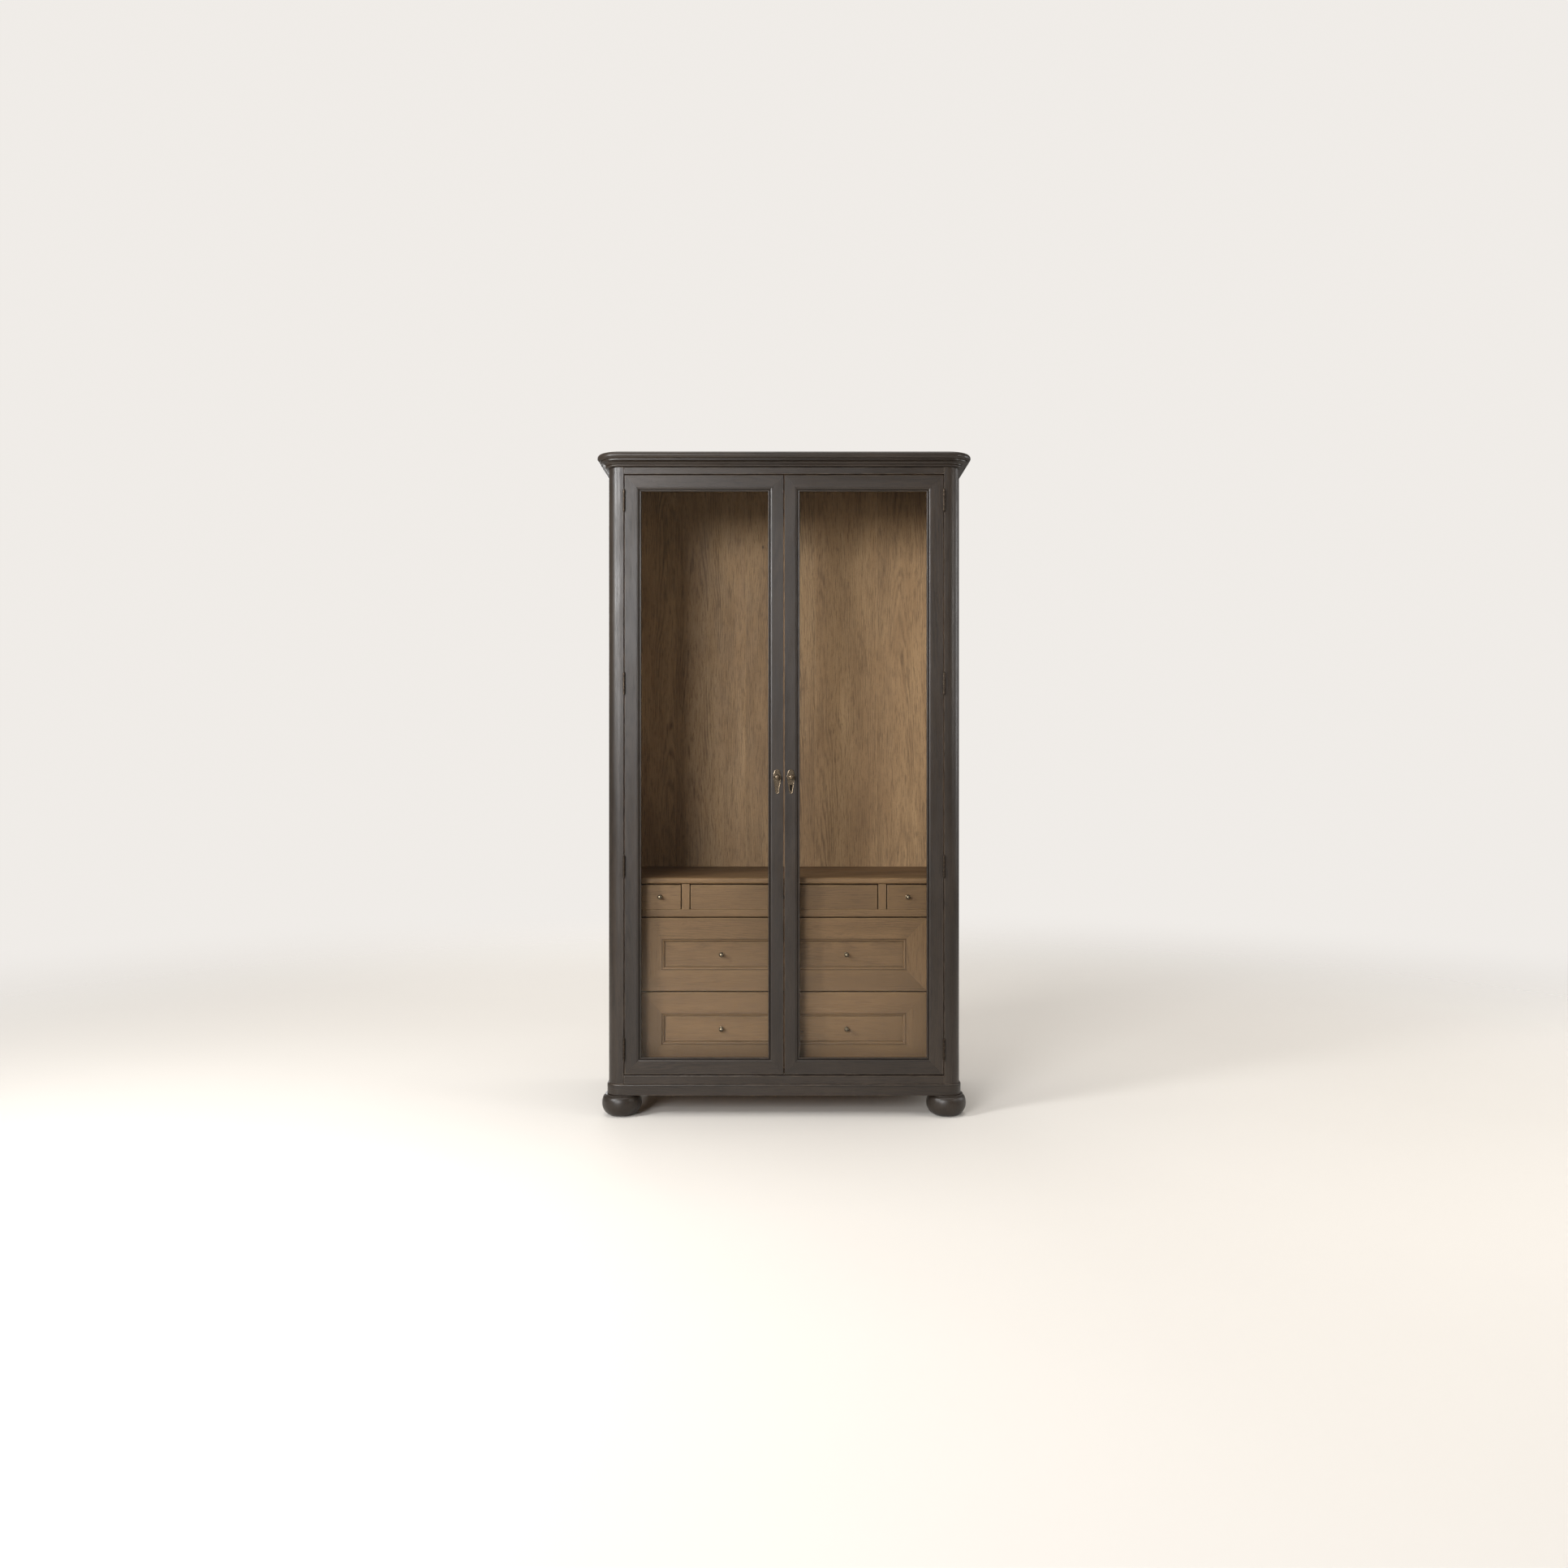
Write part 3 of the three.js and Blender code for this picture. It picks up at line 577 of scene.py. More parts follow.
def plinth():
    """A moulded board round the front and sides, a rear board and the blocks that take the feet."""
    node = "plinth"
    lo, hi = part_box(node)
    proud, wall = hi.x - BODY_HALF, 34.5 * MM
    round_top, ease = 4.5 * MM, 1.5 * MM
    quirk, quirk_depth = 0.8 * MM, 0.9 * MM
    shoulder = hi.z - round_top
    profile = [(-wall, lo.z), (proud - ease, lo.z), (proud, lo.z + ease)]
    profile += [(proud, shoulder - 2 * quirk), (proud - quirk_depth, shoulder - quirk)]
    profile += arc((proud - round_top, shoulder), round_top, 0, 90, 6)
    profile += [(-wall, hi.z)]
    dark(node, "moulded_board", swept_round_case(Timber(), profile))
    rear = Timber()
    rear_wall = 40 * MM
    half = BODY_HALF - wall - HAIR
    block(rear, (-half, BACK - rear_wall, lo.z), (half, BACK, hi.z), X)
    peg_gap, width = 12.5 * MM, 57.5 * MM
    front_reach, rear_reach = 45.5 * MM, 42 * MM  # from a foot's middle to its block's inner edge
    for foot_node in FOOT_NODES:
        foot_lo, foot_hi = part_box(foot_node)
        x, y = (foot_lo.x + foot_hi.x) / 2, (foot_lo.y + foot_hi.y) / 2
        if y < 0:
            start, end = FRONT + wall + HAIR, y + front_reach
        else:
            start, end = y - rear_reach, BACK - rear_wall - HAIR
        side = math.copysign(1, x)
        outer = abs(x) - peg_gap
        block(rear, (side * outer, start, lo.z), (side * (outer - width), end, hi.z), Y)
    dark(node, "rear_board_and_blocks", rear)


def cornice():
    """A half-round nose, a shadow fillet, a cove and a bead, in one moulding round front and sides."""
    node = "cornice"
    lo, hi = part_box(node)
    reach = hi.x - BODY_HALF
    wall, nose, bead = 19.5 * MM, 12.2 * MM, 4.2 * MM
    nose_bottom = hi.z - 2 * nose
    fillet_in, fillet_drop, lip = 12.4 * MM, 3.6 * MM, 0.8 * MM
    profile = [(-wall, hi.z)]
    profile += arc((reach - nose, hi.z - nose), nose, 90, -62, 14)
    profile += [(reach - fillet_in + lip / 2, nose_bottom + lip / 2)]
    profile += [(reach - fillet_in, nose_bottom - fillet_drop)]
    cove_top, cove_out = nose_bottom - fillet_drop - lip, reach - 9.5 * MM
    bead_out = 13.5 * MM
    cove_foot = lo.z + 2 * bead + lip
    cove = (cove_out - bead_out + 1.5 * MM, cove_top - cove_foot)
    profile += arc((cove_out, cove_foot), cove, 90, 180, 8)
    profile += arc((bead_out - bead, lo.z + bead), bead, 80, -80, 10)
    profile += [(-wall, lo.z)]
    dark(node, "moulding", swept_round_case(Timber(), profile))


def case_front():
    """Corner posts and the rails over and under the doors."""
    for name, side in SIDES.items():
        node = f"{name}_post"
        lo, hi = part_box(node)
        inner = min(abs(lo.x), abs(hi.x))
        ease = 1.2 * MM
        outline = [(inner, FRONT + ease), (inner + ease, FRONT)]
        outline += arc((BODY_HALF - CORNER_RADIUS, FRONT + CORNER_RADIUS), CORNER_RADIUS, 270, 360, 18)
        outline += [(BODY_HALF, hi.y), (inner, hi.y)]
        outline = [(side * x, y) for x, y in outline]
        dark(node, "rounded_post", extruded(Timber(), outline, Z, lo.z, hi.z, Z))
    for node, ease in (("frieze_rail", 1.6 * MM), ("bottom_rail", 1.2 * MM)):
        lo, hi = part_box(node)
        dark(node, "rail", block(Timber(), lo, hi, X, ease))


# ---- sides, back and top ----------------------------------------------------------------------

# The sunk field of each side: its distance from the panel's edges, and its depth.
FIELD_FRONT, FIELD_REAR = 45 * MM, 75 * MM
FIELD_BOTTOM, FIELD_TOP = 110 * MM, 85 * MM
FIELD_DEPTH = 6 * MM


def side_panel(name, side):
    """A frame and its sunk field outside, in dark oak, and a warm lining of boards inside."""
    node = f"{name}_side_panel"
    lo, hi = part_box(node)
    lining, bead, bead_ease = 5 * MM, 9 * MM, 1.4 * MM
    outer = BODY_HALF
    inner = outer - (hi.x - lo.x)
    frame_x = (inner + lining + HAIR, outer)
    bead_x = (outer - FIELD_DEPTH, outer - 1.2 * MM)
    field_x = (inner + lining + HAIR, outer - FIELD_DEPTH - HAIR)
    panel_y, panel_z = (lo.y, hi.y), (lo.z, hi.z)
    field_y = (lo.y + FIELD_FRONT, hi.y - FIELD_REAR)
    field_z = (lo.z + FIELD_BOTTOM, hi.z - FIELD_TOP)
    rail_y = within(field_y)
    shell = Timber()
    for y in ((lo.y, field_y[0]), (field_y[1], hi.y)):
        block(shell, *mirrored(side, frame_x, y, panel_z), Z)
    for z in ((lo.z, field_z[0]), (field_z[1], hi.z)):
        block(shell, *mirrored(side, frame_x, rail_y, z), Y)
    for y in ((field_y[0], field_y[0] + bead), (field_y[1] - bead, field_y[1])):
        block(shell, *mirrored(side, bead_x, within(y), field_z), Z, bead_ease)
    between = within((field_y[0] + bead, field_y[1] - bead))
    for z in ((field_z[0], field_z[0] + bead), (field_z[1] - bead, field_z[1])):
        block(shell, *mirrored(side, bead_x, between, within(z)), Y, bead_ease)
    boards(shell, *mirrored(side, field_x, rail_y, field_z), Z, Y, 3)
    dark(node, "frame_and_field", shell)
    inside = boards(Timber(), *mirrored(side, (inner, inner + lining), panel_y, panel_z), Z, Y, 4)
    warm(node, "lining", inside)


def back_and_top():
    """The back is a lining of wide boards in front and grooved boards behind."""
    lo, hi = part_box("back_panel")
    middle = (lo.y + hi.y) / 2
    lining = boards(Timber(), lo, (hi.x, middle, hi.z), Z, X, 5)
    warm("back_panel", "lining", lining)
    rear = Timber()
    count, gap, chamfer = 9, 0.6 * MM, 4 * MM
    width = (hi.x - lo.x) / count
    for i in range(count):
        x0, x1 = lo.x + i * width + gap, lo.x + (i + 1) * width - gap
        block(rear, (x0, middle + HAIR, lo.z), (x1, hi.y, hi.z), Z, chamfer)
    warm("back_panel", "rear_boards", rear, SHADED_DRAWER_OAK)
    lo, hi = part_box("top_board")
    dark("top_board", "boards", boards(Timber(), lo, hi, X, Y, 4))


# ---- inside the case --------------------------------------------------------------------------


def lipping(timber, lo, hi, depth, nose):
    """A solid lip of the given depth along a board's front edge, rounded over by the nose."""
    outline = [(lo[1] + depth, lo[2]), (lo[1] + depth, hi[2])]
    outline += arc((lo[1] + nose, hi[2] - nose), nose, 90, 180, 6)
    outline += arc((lo[1] + nose, lo[2] + nose), nose, 180, 270, 6)
    extruded(timber, outline, X, lo[0], hi[0], X)


def inner_case():
    """The shelf, the web board under the small drawers, the floor, the dividers and the guides."""
    depth, lip = 48 * MM, 30 * MM
    for node, nose, count in (("shelf_board", 8 * MM, 4), ("drawer_web_board", 1.5 * MM, 3)):
        lo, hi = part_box(node)
        timber = Timber()
        lipping(timber, lo, hi, depth, nose)
        boards(timber, (lo.x, lo.y + depth + HAIR, lo.z), hi, X, Y, count)
        warm(node, "boards", timber, SHADED_DRAWER_OAK)
    lo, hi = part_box("floor_board")
    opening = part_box("frieze_rail")[1].x
    timber = Timber()
    post_rear = POST_HI.y + 0.3 * MM
    block(timber, (-opening, lo.y, lo.z), (opening, post_rear - HAIR, hi.z), X)
    boards(timber, (lo.x, post_rear, lo.z), hi, X, Y, 4)
    warm("floor_board", "boards", timber)
    for name, side in SIDES.items():
        node = f"{name}_divider"
        lo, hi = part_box(node)
        timber = Timber()
        block(timber, lo, (hi.x, lo.y + lip, hi.z), Z)
        block(timber, (lo.x, lo.y + lip + HAIR, lo.z), hi, Y)
        warm(node, "boards", timber, SHADED_DRAWER_OAK)
        drawer_guide(name, side)


def drawer_guide(name, side):
    """The filler beside the drawers, the partition behind it and the wide drawer's runner."""
    node = f"{name}_drawer_guide"
    lo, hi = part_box(node)
    outer = max(abs(lo.x), abs(hi.x))
    runner_inner = min(abs(lo.x), abs(hi.x))
    inner = max(abs(corner.x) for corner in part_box(f"{name}_small_drawer")) + 2.5 * MM
    partition, runner = 18 * MM, 18 * MM
    filler_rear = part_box("upper_wide_drawer_front")[1].y
    runner_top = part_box("upper_wide_drawer_box")[0].z - 0.5 * MM
    levels = (lo.z, hi.z)
    timber = Timber()
    block(timber, *mirrored(side, (inner, outer), (lo.y, filler_rear), levels), Z)
    partition_x, partition_y = (inner, inner + partition), (filler_rear + HAIR, hi.y)
    block(timber, *mirrored(side, partition_x, partition_y, levels), Y)
    runner_x, runner_y = (runner_inner, inner - HAIR), (filler_rear + 15 * MM, hi.y - 5 * MM)
    block(timber, *mirrored(side, runner_x, runner_y, (runner_top - runner, runner_top)), Y)
    warm(node, "boards", timber, SHADED_DRAWER_OAK)


# ---- drawers ----------------------------------------------------------------------------------


def drawer_box(timber, lo, hi):
    """Two sides, a front and a back fitted between them, and a bottom inside all four."""
    wall, bottom = 12 * MM, 8 * MM
    block(timber, lo, (lo[0] + wall, hi[1], hi[2]), Y)
    block(timber, (hi[0] - wall, lo[1], lo[2]), hi, Y)
    inside = (lo[0] + wall + HAIR, hi[0] - wall - HAIR)
    block(timber, (inside[0], lo[1], lo[2]), (inside[1], lo[1] + wall, hi[2]), X)
    block(timber, (inside[0], hi[1] - wall, lo[2]), (inside[1], hi[1], hi[2]), X)
    floor_lo = (inside[0], lo[1] + wall + HAIR, lo[2])
    boards(timber, floor_lo, (inside[1], hi[1] - wall - HAIR, lo[2] + bottom), X, Y, 3)


def knob_profile(radius, length):
    """A rosette, a slim neck with a collar, and a slightly flattened ball."""
    neck, ball = 0.36 * radius, 0.94 * radius
    centre = length - ball
    collar = centre - 0.98 * radius
    points = [(0, 0), (0.86 * radius, 0), (0.86 * radius, 0.8 * MM), (0.74 * radius, 1.5 * MM)]
    points += [(0.66 * radius, 1.9 * MM), (1.25 * neck, 2.6 * MM), (neck, 4.0 * MM)]
    points += [(neck, collar - 1.2 * MM), (1.5 * neck, collar - 0.6 * MM), (1.5 * neck, collar)]
    points += arc((0, centre), (radius, ball), -64, 90, 15)[:-1]
    return points + [(0, length)]


def knob(node):
    """A turned knob between the ends of its CAD node, standing forward."""
    lo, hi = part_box(node)
    radius, length = (hi.x - lo.x) / 2, hi.y - lo.y
    centre = ((lo.x + hi.x) / 2, hi.y, (lo.z + hi.z) / 2)
    brass(node, "turned", turned(Timber(), knob_profile(radius, length), centre, Y, 32))


def small_drawer(place):
    """A slab front with eased edges and its box of thin boards."""
    node = f"{place}_small_drawer"
    lo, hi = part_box(node)
    thickness, ease = 20 * MM, 1.6 * MM
    margin, drop = 2 * MM, 16.5 * MM  # the box is narrower and lower than its front
    timber = Timber()
    block(timber, lo, (hi.x, lo.y + thickness, hi.z), X, ease)
    box_lo = (lo.x + margin, lo.y + thickness + HAIR, lo.z)
    drawer_box(timber, box_lo, (hi.x - margin, hi.y, hi.z - drop))
    warm(node, "front_and_box", timber, SHADED_DRAWER_OAK)
    knob(f"{node}_knob")


def wide_drawer(place):
    """A mitred frame with a quirked ovolo round a sunk panel, and the box behind it."""
    node = f"{place}_wide_drawer"
    lo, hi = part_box(f"{node}_front")
    thickness = hi.y - lo.y
    border, moulding, sunk = 75 * MM, 13 * MM, 8 * MM
    edge = border + moulding
    ease, groove, fillet, gap = 1.2 * MM, 4.4 * MM, 6.8 * MM, sunk + 3 * MM
    profile = [(0, ease), (ease, 0), (border, 0)]
    profile += [(border + 0.3 * MM, groove), (border + 3.0 * MM, groove)]
    profile += arc((border + 3.2 * MM, 6.4 * MM), (5.9 * MM, 5.0 * MM), -90, -6, 6)
    profile += [(edge - 3.4 * MM, fillet), (edge - 1.5 * MM, fillet), (edge - 1.3 * MM, gap)]
    profile += [(edge, gap), (edge, thickness), (0, thickness)]
    timber = mitred(Timber(), (lo.x, lo.z), (hi.x, hi.z), profile, lo.y)
    panel_lo = (lo.x + edge + HAIR, lo.y + sunk, lo.z + edge + HAIR)
    panel_hi = (hi.x - edge - HAIR, hi.y - 1 * MM, hi.z - edge - HAIR)
    block(timber, panel_lo, panel_hi, X, 0.3 * MM)
    warm(f"{node}_front", "frame_and_panel", timber, SHADED_DRAWER_OAK)
    timber = Timber()
    drawer_box(timber, *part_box(f"{node}_box"))
    warm(f"{node}_box", "boards", timber, SHADED_DRAWER_OAK)
    for name in SIDES:
        knob(f"{node}_{name}_knob")


# ---- doors ------------------------------------------------------------------------------------

STICKING = 15 * MM
REBATE = 8 * MM


def sticking_profile(width, thickness):
    """Flat member, arris, ovolo, dark groove and a rounded bead beside the glass, then the rebate."""
    ease, glass, groove = 1.2 * MM, 10 * MM, 8.6 * MM
    bead, bead_top = 2.8 * MM, 5.7 * MM
    edge = width + STICKING
    profile = [(0, ease), (ease, 0), (width - 0.5 * MM, 0), (width, 0.5 * MM), (width + 0.2 * MM, 1.5 * MM)]
    profile += arc((width + 0.8 * MM, 5.4 * MM), (6.4 * MM, 3.9 * MM), -90, -8, 6)
    profile += [(width + 7.3 * MM, groove), (width + 9.2 * MM, groove), (width + 9.3 * MM, 5.8 * MM)]
    profile += arc((edge - bead, bead_top), (bead, 3.2 * MM), -170, 0, 10)
    profile += [(edge, glass), (edge - REBATE, glass), (edge - REBATE, thickness)]
    profile += [(ease, thickness), (0, thickness - ease)]
    return profile


def door_frame(name):
    """Stiles and rails mitred at the corners, and the beads that hold the pane from behind."""
    node = f"{name}_door_frame"
    lo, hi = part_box(node)
    glass_lo, glass_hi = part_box(f"{name}_door_glass")
    hold = REBATE - 0.3 * MM  # what the frame covers of the glass
    sight_lo = (glass_lo.x + hold, glass_lo.z + hold)
    sight_hi = (glass_hi.x - hold, glass_hi.z - hold)
    thickness = hi.y - lo.y
    timber = Timber()
    for axis, outer, inner in members((lo.x, lo.z), (hi.x, hi.z), sight_lo, sight_hi):
        width = abs(inner[0] - outer[0]) - STICKING
        member(timber, sticking_profile(width, thickness), lo.y, axis, outer, inner)
    dark(node, "stiles_and_rails", timber)
    slack, drop = 0.2 * MM, 0.6 * MM
    rear, top = glass_hi.y - lo.y + slack, thickness - drop
    bead = [(slack, rear), (REBATE - 0.8 * MM, rear)]
    bead += arc((1.5 * MM, rear), (5.7 * MM, top - rear), 0, 90, 6)
    bead += [(slack, top)]
    start = (sight_lo[0] - REBATE, sight_lo[1] - REBATE)
    end = (sight_hi[0] + REBATE, sight_hi[1] + REBATE)
    dark(node, "glazing_beads", mitred(Timber(), start, end, bead, lo.y))


def pane(name):
    """The door's sheet of glass."""
    node = f"{name}_door_glass"
    lo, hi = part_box(node)
    show(node, "pane", block(Timber(), lo, hi, Z, 0.6 * MM), GLASS)


def shield(height, half):
    """A shield seen from the front: a pointed top, shoulders, and sides that narrow to a round foot."""
    shoulder, foot, curve = 0.70 * height, 0.42 * half, 3.5 * MM
    right = arc((0, foot), foot, -90, -12, 5)
    right += [(0.97 * half, shoulder - curve), (half, shoulder), (0.93 * half, shoulder + curve)]
    right += [(0.62 * half, height - 5 * MM), (0.30 * half, height - 1.4 * MM), (0, height)]
    left = [(-x, z) for x, z in right[1:-1]]
    return right + left[::-1]


def keyhole(centre):
    """A keyhole's outline, counterclockwise: a round bow over a straight slot."""
    radius, length, slot = 4.4 * MM, 21 * MM, 2.6 * MM
    points = arc((0, length / 2 - radius), radius, -52, 232, 16)
    points += [(-slot, -length / 2), (slot, -length / 2)]
    return [(centre[0] + x, centre[1] + z) for x, z in points]


def inset(points, margin):
    """The outline moved inwards by the margin, for an outline that runs counterclockwise."""
    moved = []
    count = len(points)
    for i in range(count):
        before, here, after = (Vector(points[j % count]) for j in (i - 1, i, i + 1))
        edges = [(here - before).normalized(), (after - here).normalized()]
        normals = [Vector((-e.y, e.x)) for e in edges]
        bisector = (normals[0] + normals[1]).normalized()
        share = max(bisector.dot(normals[0]), 0.35)
        moved.append(tuple(here + bisector * margin / share))
    return moved


def filled(loops):
    """The triangles between an outline and its holes, as indexes into all their points in a row."""
    flat = [[Vector((x, z, 0)) for x, z in loop] for loop in loops]
    return [list(triangle) for triangle in tessellate_polygon(flat)]


def key_opening():
    """The keyhole's middle, from the record, which states it as an opening."""
    stated = {o["name"]: o["box_m"] for o in frame["record"]["physics"]["openings"]}
    lo, hi = stated["keyhole"]
    return (lo[0] + hi[0]) / 2, (lo[2] + hi[2]) / 2


def cast_plate(outline, hole, front, rear):
    """A plate with a rounded rim raised round a sunk field, pierced where there is a hole."""
    field, arris = 0.9 * MM, 0.15 * MM
    # The rim's section as (distance inward, depth behind its top), from the plate's rear to its field.
    rim = [(0, rear - front), (0, 0.7 * MM), (0.5 * MM, arris), (1.0 * MM, 0)]
    rim += [(1.7 * MM, arris), (2.2 * MM, field)]
    loops = [inset(outline, margin) for margin, _ in rim]
    count, size = len(outline), len(hole)
    points = [(x, front + depth, z) for loop, (_, depth) in zip(loops, rim) for x, z in loop]
    front_hole = len(points)
    rear_hole = front_hole + size
    points += [(x, front + field, z) for x, z in hole]
    points += [(x, rear, z) for x, z in hole]
    faces = []
    for start in range(0, front_hole - count, count):
        faces += band(start, start + count, count)
    faces += band(front_hole, rear_hole, size)
    front_ring = range(front_hole - count, rear_hole)
    rear_ring = [*range(count), *range(rear_hole, rear_hole + size)]
    holes = [hole] if hole else []
    faces += [[front_ring[i] for i in triangle] for triangle in filled([loops[-1], *holes])]
    faces += [[rear_ring[i] for i in triangle] for triangle in filled([loops[0], *holes])]
    return Timber().add(points, faces)


def back_plate(name):
    """A cast shield behind the door's knob. The right one has a keyhole, with a near-black plug close
    behind it: painted shade for the dark hole.
    """
    node = f"{name}_door_plate"
    lo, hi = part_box(node)
    x = (lo.x + hi.x) / 2
    outline = [(x + px, lo.z + pz) for px, pz in shield(hi.z - lo.z, (hi.x - lo.x) / 2)]
    hole = keyhole(key_opening()) if name == "right" else []
    brass(node, "shield", cast_plate(outline, hole, lo.y, hi.y))
    if hole:
        # A thin near-black plug just behind the plate's face: painted shade standing in for the dark depth
        # of the keyhole.
        slack, depth = 0.05 * MM, 0.5 * MM
        shade_plug = extruded(Timber(), inset(hole, slack), Y, hi.y - depth, hi.y - slack, Z)
        brass(node, "painted_shade_plug", shade_plug, KEYHOLE_PAINTED_SHADE)


def lock_case():
    """The lock's sheet case with its cap and four screws, on the rear of the right door."""
    node = "lock_case"
    lo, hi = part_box(node)
    rim, cap_depth, head = 3 * MM, 1.4 * MM, 0.5 * MM
    timber = block(Timber(), lo, (hi.x, hi.y - cap_depth, hi.z), Z, 1.2 * MM)
    cap_lo = (lo.x + rim, hi.y - cap_depth + HAIR, lo.z + rim)
    block(timber, cap_lo, (hi.x - rim, hi.y - head, hi.z - rim), Z, 0.4 * MM)
    screw = [(0, 1 * MM), (2.6 * MM, 1 * MM), (2.6 * MM, -0.1 * MM), (1.8 * MM, -0.45 * MM), (0, -head)]
    from_side, from_end = 9 * MM, 10 * MM
    for x in (lo.x + from_side, hi.x - from_side):
        for z in (lo.z + from_end, hi.z - from_end):
            turned(timber, screw, (x, hi.y - head, z), Y, 20)
    brass(node, "case_and_cap", timber)


# ---- hinges -----------------------------------------------------------------------------------

KNUCKLES = 5
# Each leaf's two faces, outwards from the hinge's axis, and the knuckles that it carries.
FRAME_LEAF = ((0.1 * MM, 0.9 * MM), (0, 2, 4))
DOOR_LEAF = ((-0.9 * MM, -0.2 * MM), (1, 3))


def hinge_leaf(lo, hi, axis, side, faces, carried):
    """A thin leaf between two heights, its knuckles on the axis and the tabs that join them to it."""
    x, y = axis
    x0, x1 = (x + side * face for face in faces)
    thin, radius, ease = 0.15 * MM, 4 * MM, 0.5 * MM
    pitch = (hi.z - lo.z) / KNUCKLES
    height = pitch - 2 * thin
    timber = block(Timber(), (x0, FRONT + 0.5 * MM, lo.z), (x1, hi.y, hi.z), Z, thin)
    for i in carried:
        start = lo.z + i * pitch + 2 * thin
        block(timber, (x0, y, start), (x1, FRONT + 0.7 * MM, start + pitch - 4 * thin), Z, thin)
    knuckle = [(0, 0), (radius - ease, 0), (radius, ease)]
    knuckle += [(radius, height - ease), (radius - ease, height), (0, height)]
    for i in carried:
        turned(timber, knuckle, (x, y, lo.z + i * pitch + thin), Z, 20)
    return timber


def hinge(name, side, index):
    """Two leaves with five knuckles between them, and a pin with ball tips."""
    frame_node, door_node = (f"{name}_hinge_{index}_{kind}_leaf" for kind in ("frame", "door"))
    lo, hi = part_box(door_node)
    frame_lo, frame_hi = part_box(frame_node)
    joint = next(j for j in frame["joints"] if j["name"] == f"{name}_door_hinge")
    axis = joint["pos_m"][:2]
    middle, length = (lo.z + hi.z) / 2, hi.z - lo.z
    reach = (frame_hi.z - frame_lo.z - length) / 2
    ball, collar = reach / 2, 2.4 * MM
    tip = [(0, -1 * MM), (collar, -1 * MM), (collar, 0.4 * MM), (1.5 * MM, 0.9 * MM)]
    tip += arc((0, reach - ball), ball, -40, 90, 7)[:-1] + [(0, reach)]
    frame_leaf = hinge_leaf(lo, hi, axis, side, *FRAME_LEAF)
    for direction in (-1, 1):
        end = (*axis, middle + direction * length / 2)
        turned(frame_leaf, [(r, direction * h) for r, h in tip], end, Z, 20)
    brass(frame_node, "leaf_and_pin", frame_leaf, HINGE_BRASS)
    brass(door_node, "leaf", hinge_leaf(lo, hi, axis, side, *DOOR_LEAF), HINGE_BRASS)


# ---- the whole object -------------------------------------------------------------------------

for foot_node in FOOT_NODES:
    foot(foot_node)
plinth()
cornice()
case_front()
back_and_top()
inner_case()
for side_name, side_sign in SIDES.items():
    side_panel(side_name, side_sign)
    door_frame(side_name)
    pane(side_name)
    back_plate(side_name)
    knob(f"{side_name}_door_knob")
    for hinge_index in range(1, 5):
        hinge(side_name, side_sign, hinge_index)
lock_case()
for drawer in SMALL_DRAWERS:
    small_drawer(drawer)
for drawer in WIDE_DRAWERS:
    wide_drawer(drawer)

# ---- floor, light and camera ------------------------------------------------------------------


def studio():
    """A wide floor of pale paper, which fades into the pale air far from the armoire."""
    half, fade_start, fade_end = 40.0, 1.6, 7.0
    mesh = bpy.data.meshes.new("studio_floor")
    corners = [(-half, -half, 0), (half, -half, 0), (half, half, 0), (-half, half, 0)]
    mesh.from_pydata(corners, [], [[0, 1, 2, 3]])
    g = Graph("studio_paper")
    place = g.node("ShaderNodeTexCoord").outputs["Object"]
    tint = g.mix(g.noise(place, (0.6, 0.6, 0.6)), colour(209, 204, 197), colour(205, 200, 193))
    paper = g.node("ShaderNodeBsdfPrincipled", {"Base Color": tint, "Roughness": 0.85})
    far = g.node("ShaderNodeMapRange", {0: g.vector("LENGTH", place), 1: fade_start, 2: fade_end})
    far.interpolation_type = "SMOOTHERSTEP"
    clear = g.node("ShaderNodeBsdfTransparent")
    fade = g.node("ShaderNodeMixShader", {0: far.outputs[0], 1: paper.outputs[0], 2: clear.outputs[0]})
    mesh.materials.append(g.finish(fade.outputs[0]))
    floor = bpy.data.objects.new("studio_floor", mesh)
    bpy.context.scene.collection.objects.link(floor)


def softbox(name, place, target, size, power, tint):
    """A rectangular area light aimed at a point."""
    light = bpy.data.lights.new(name, "AREA")
    light.shape = "RECTANGLE"
    light.size, light.size_y = size
    light.energy = power
    light.color = tint
    lamp = bpy.data.objects.new(name, light)
    lamp.location = place
    lamp.rotation_euler = (Vector(target) - Vector(place)).to_track_quat("-Z", "Y").to_euler()
    bpy.context.scene.collection.objects.link(lamp)
    return lamp


def all_but_the_panes():
    """A collection that keeps the softboxes' own images out of the door glass."""
    panes = bpy.data.collections.new("door_panes")
    for name in SIDES:
        panes.objects.link(bpy.data.objects[f"{name}_door_glass.pane"])
    for link in panes.collection_objects:
        link.light_linking.link_state = "EXCLUDE"
    return panes


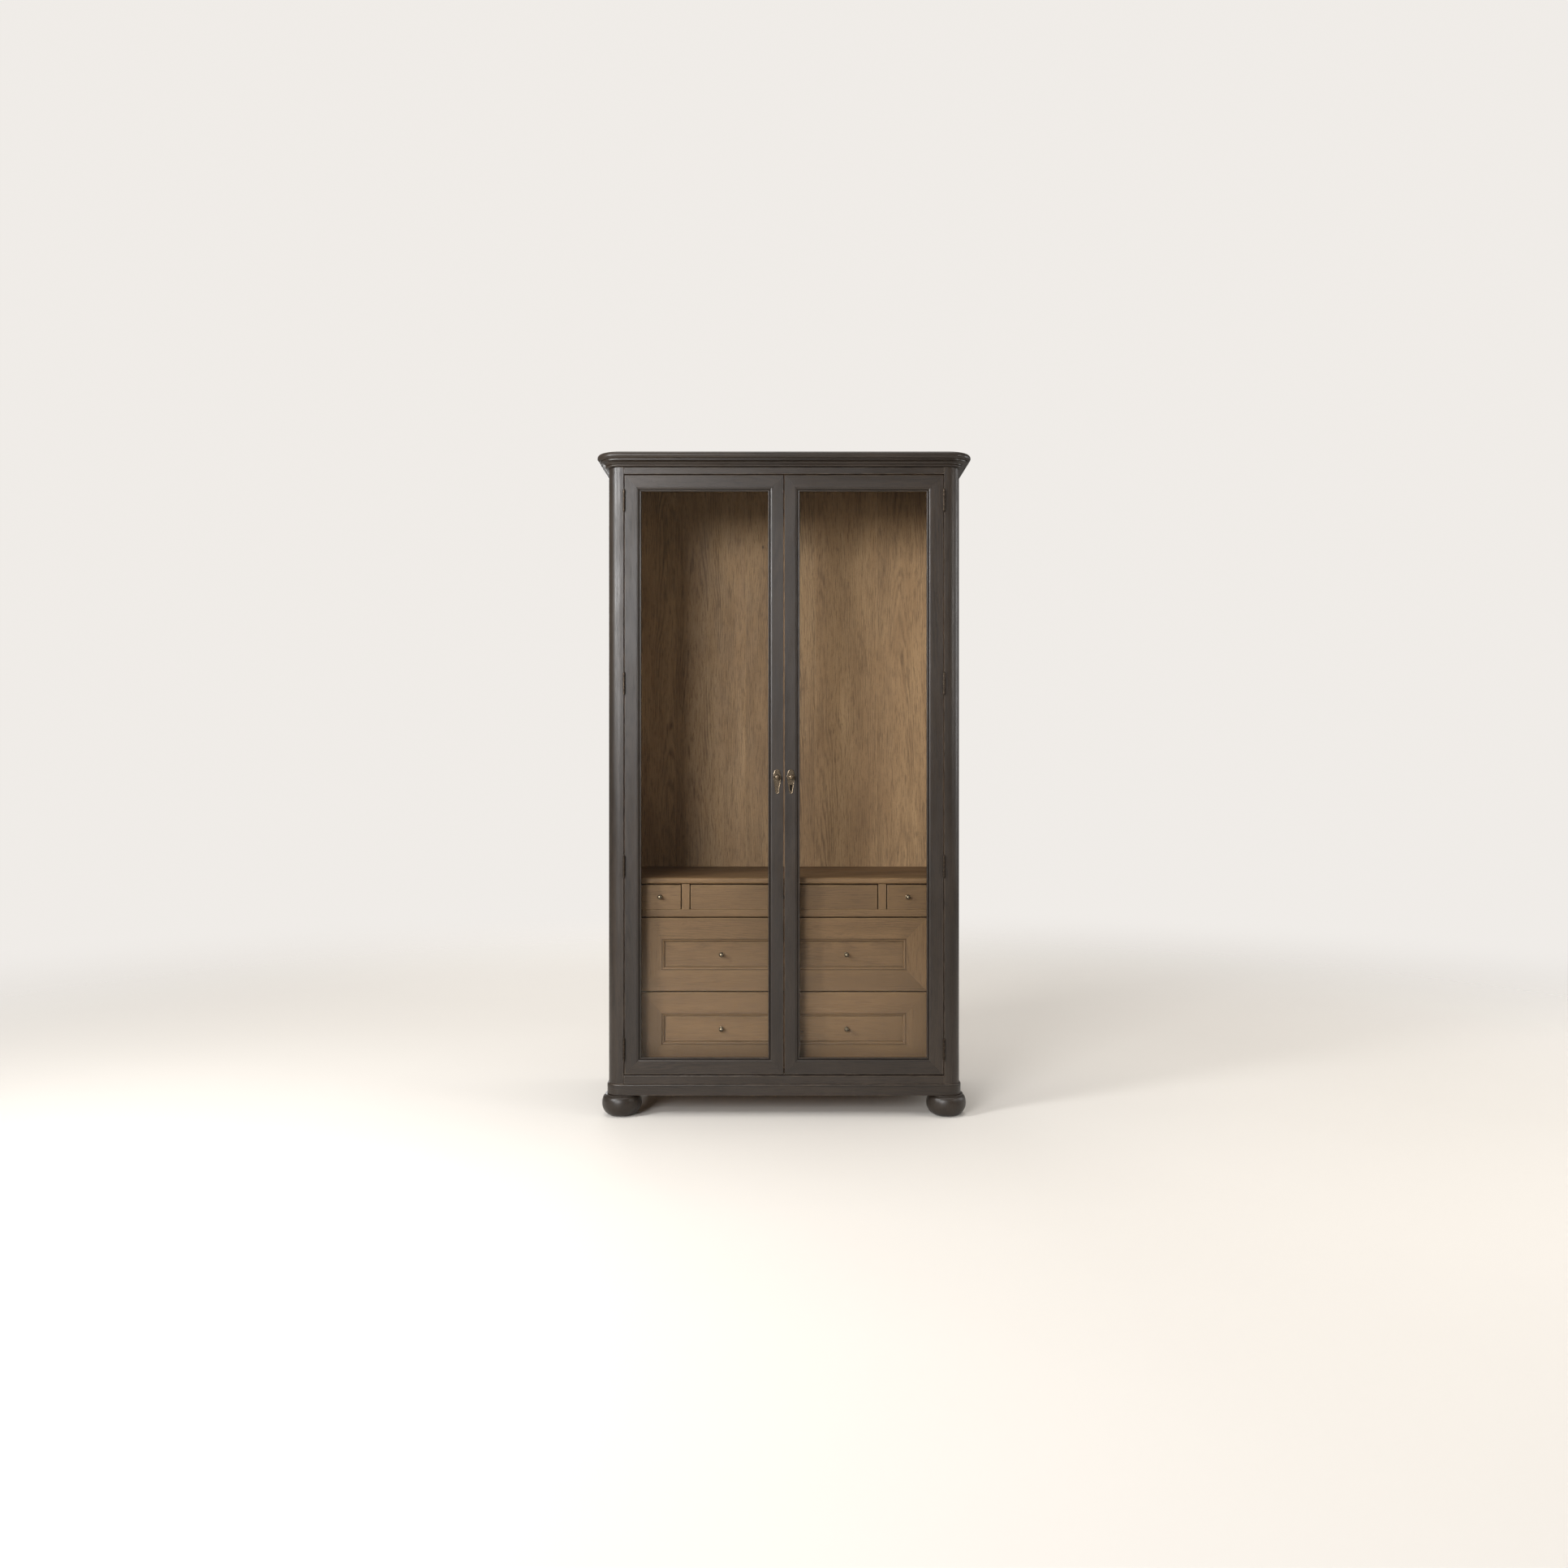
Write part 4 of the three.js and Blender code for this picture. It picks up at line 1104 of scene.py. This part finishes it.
COOL, COOLER = (0.98, 0.985, 1.0), (0.97, 0.985, 1.0)
WHITE, WARM = (1.0, 1.0, 1.0), (1.0, 0.97, 0.93)
SOFTBOXES = (  # name, place, target, size, watts, tint
    ("key_light", (-3.3, -8.0, 3.1), (-0.1, 0, 1.3), (2.8, 2.6), 625, COOL),
    ("side_light", (-3.2, -2.5, 2.6), (-0.6, 0, 1.4), (0.9, 1.7), 155, COOLER),
    ("rim_light", (3.3, -2.0, 2.1), (0.6, 0, 1.3), (0.5, 1.6), 26, WARM),
    ("right_fill", (5.5, 0.8, 2.2), (0.6, 0, 1.2), (2.0, 2.5), 70, WHITE),
    ("rear_fill", (-1.5, 7.0, 3.0), (0, 0, 1.2), (3.0, 2.5), 130, WHITE),
)


def lights():
    """A large soft key far off at the upper left, weaker lights all round and even light from above."""
    lit = all_but_the_panes()
    for values in SOFTBOXES:
        softbox(*values).light_linking.receiver_collection = lit
    overhead = bpy.data.lights.new("overhead_light", "SUN")
    overhead.energy = 1.7
    overhead.angle = math.radians(50)
    overhead.color = (1.0, 0.975, 0.945)
    lamp = bpy.data.objects.new("overhead_light", overhead)
    bpy.context.scene.collection.objects.link(lamp)


def air():
    """Pale air, dim where it lights the armoire and bright where the camera sees it."""
    glow, seen = 0.20, 0.67
    world = bpy.data.worlds.new("studio_air")
    world.use_nodes = True
    nodes, links = world.node_tree.nodes, world.node_tree.links
    background = nodes["Background"]
    background.inputs["Color"].default_value = (1.0, 0.965, 0.925, 1.0)
    strength = nodes.new("ShaderNodeMath")
    strength.operation = "MULTIPLY_ADD"
    links.new(nodes.new("ShaderNodeLightPath").outputs["Is Camera Ray"], strength.inputs[0])
    strength.inputs[1].default_value = seen
    strength.inputs[2].default_value = glow
    links.new(strength.outputs[0], background.inputs["Strength"])
    bpy.context.scene.world = world
    bpy.context.scene.view_settings.view_transform = "Standard"


def camera():
    """At a person's chest height, level, square to the doors."""
    distance, eye = 4.9, 1.26
    lens = bpy.data.cameras.new("camera")
    lens.lens = 31.77
    lens.sensor_width = 36
    lens.shift_y = -0.0145
    view = bpy.data.objects.new("camera", lens)
    view.location = (0, FRONT - distance, eye)
    view.rotation_euler = (math.pi / 2, 0, 0)
    bpy.context.scene.collection.objects.link(view)
    bpy.context.scene.camera = view


studio()
lights()
air()
camera()
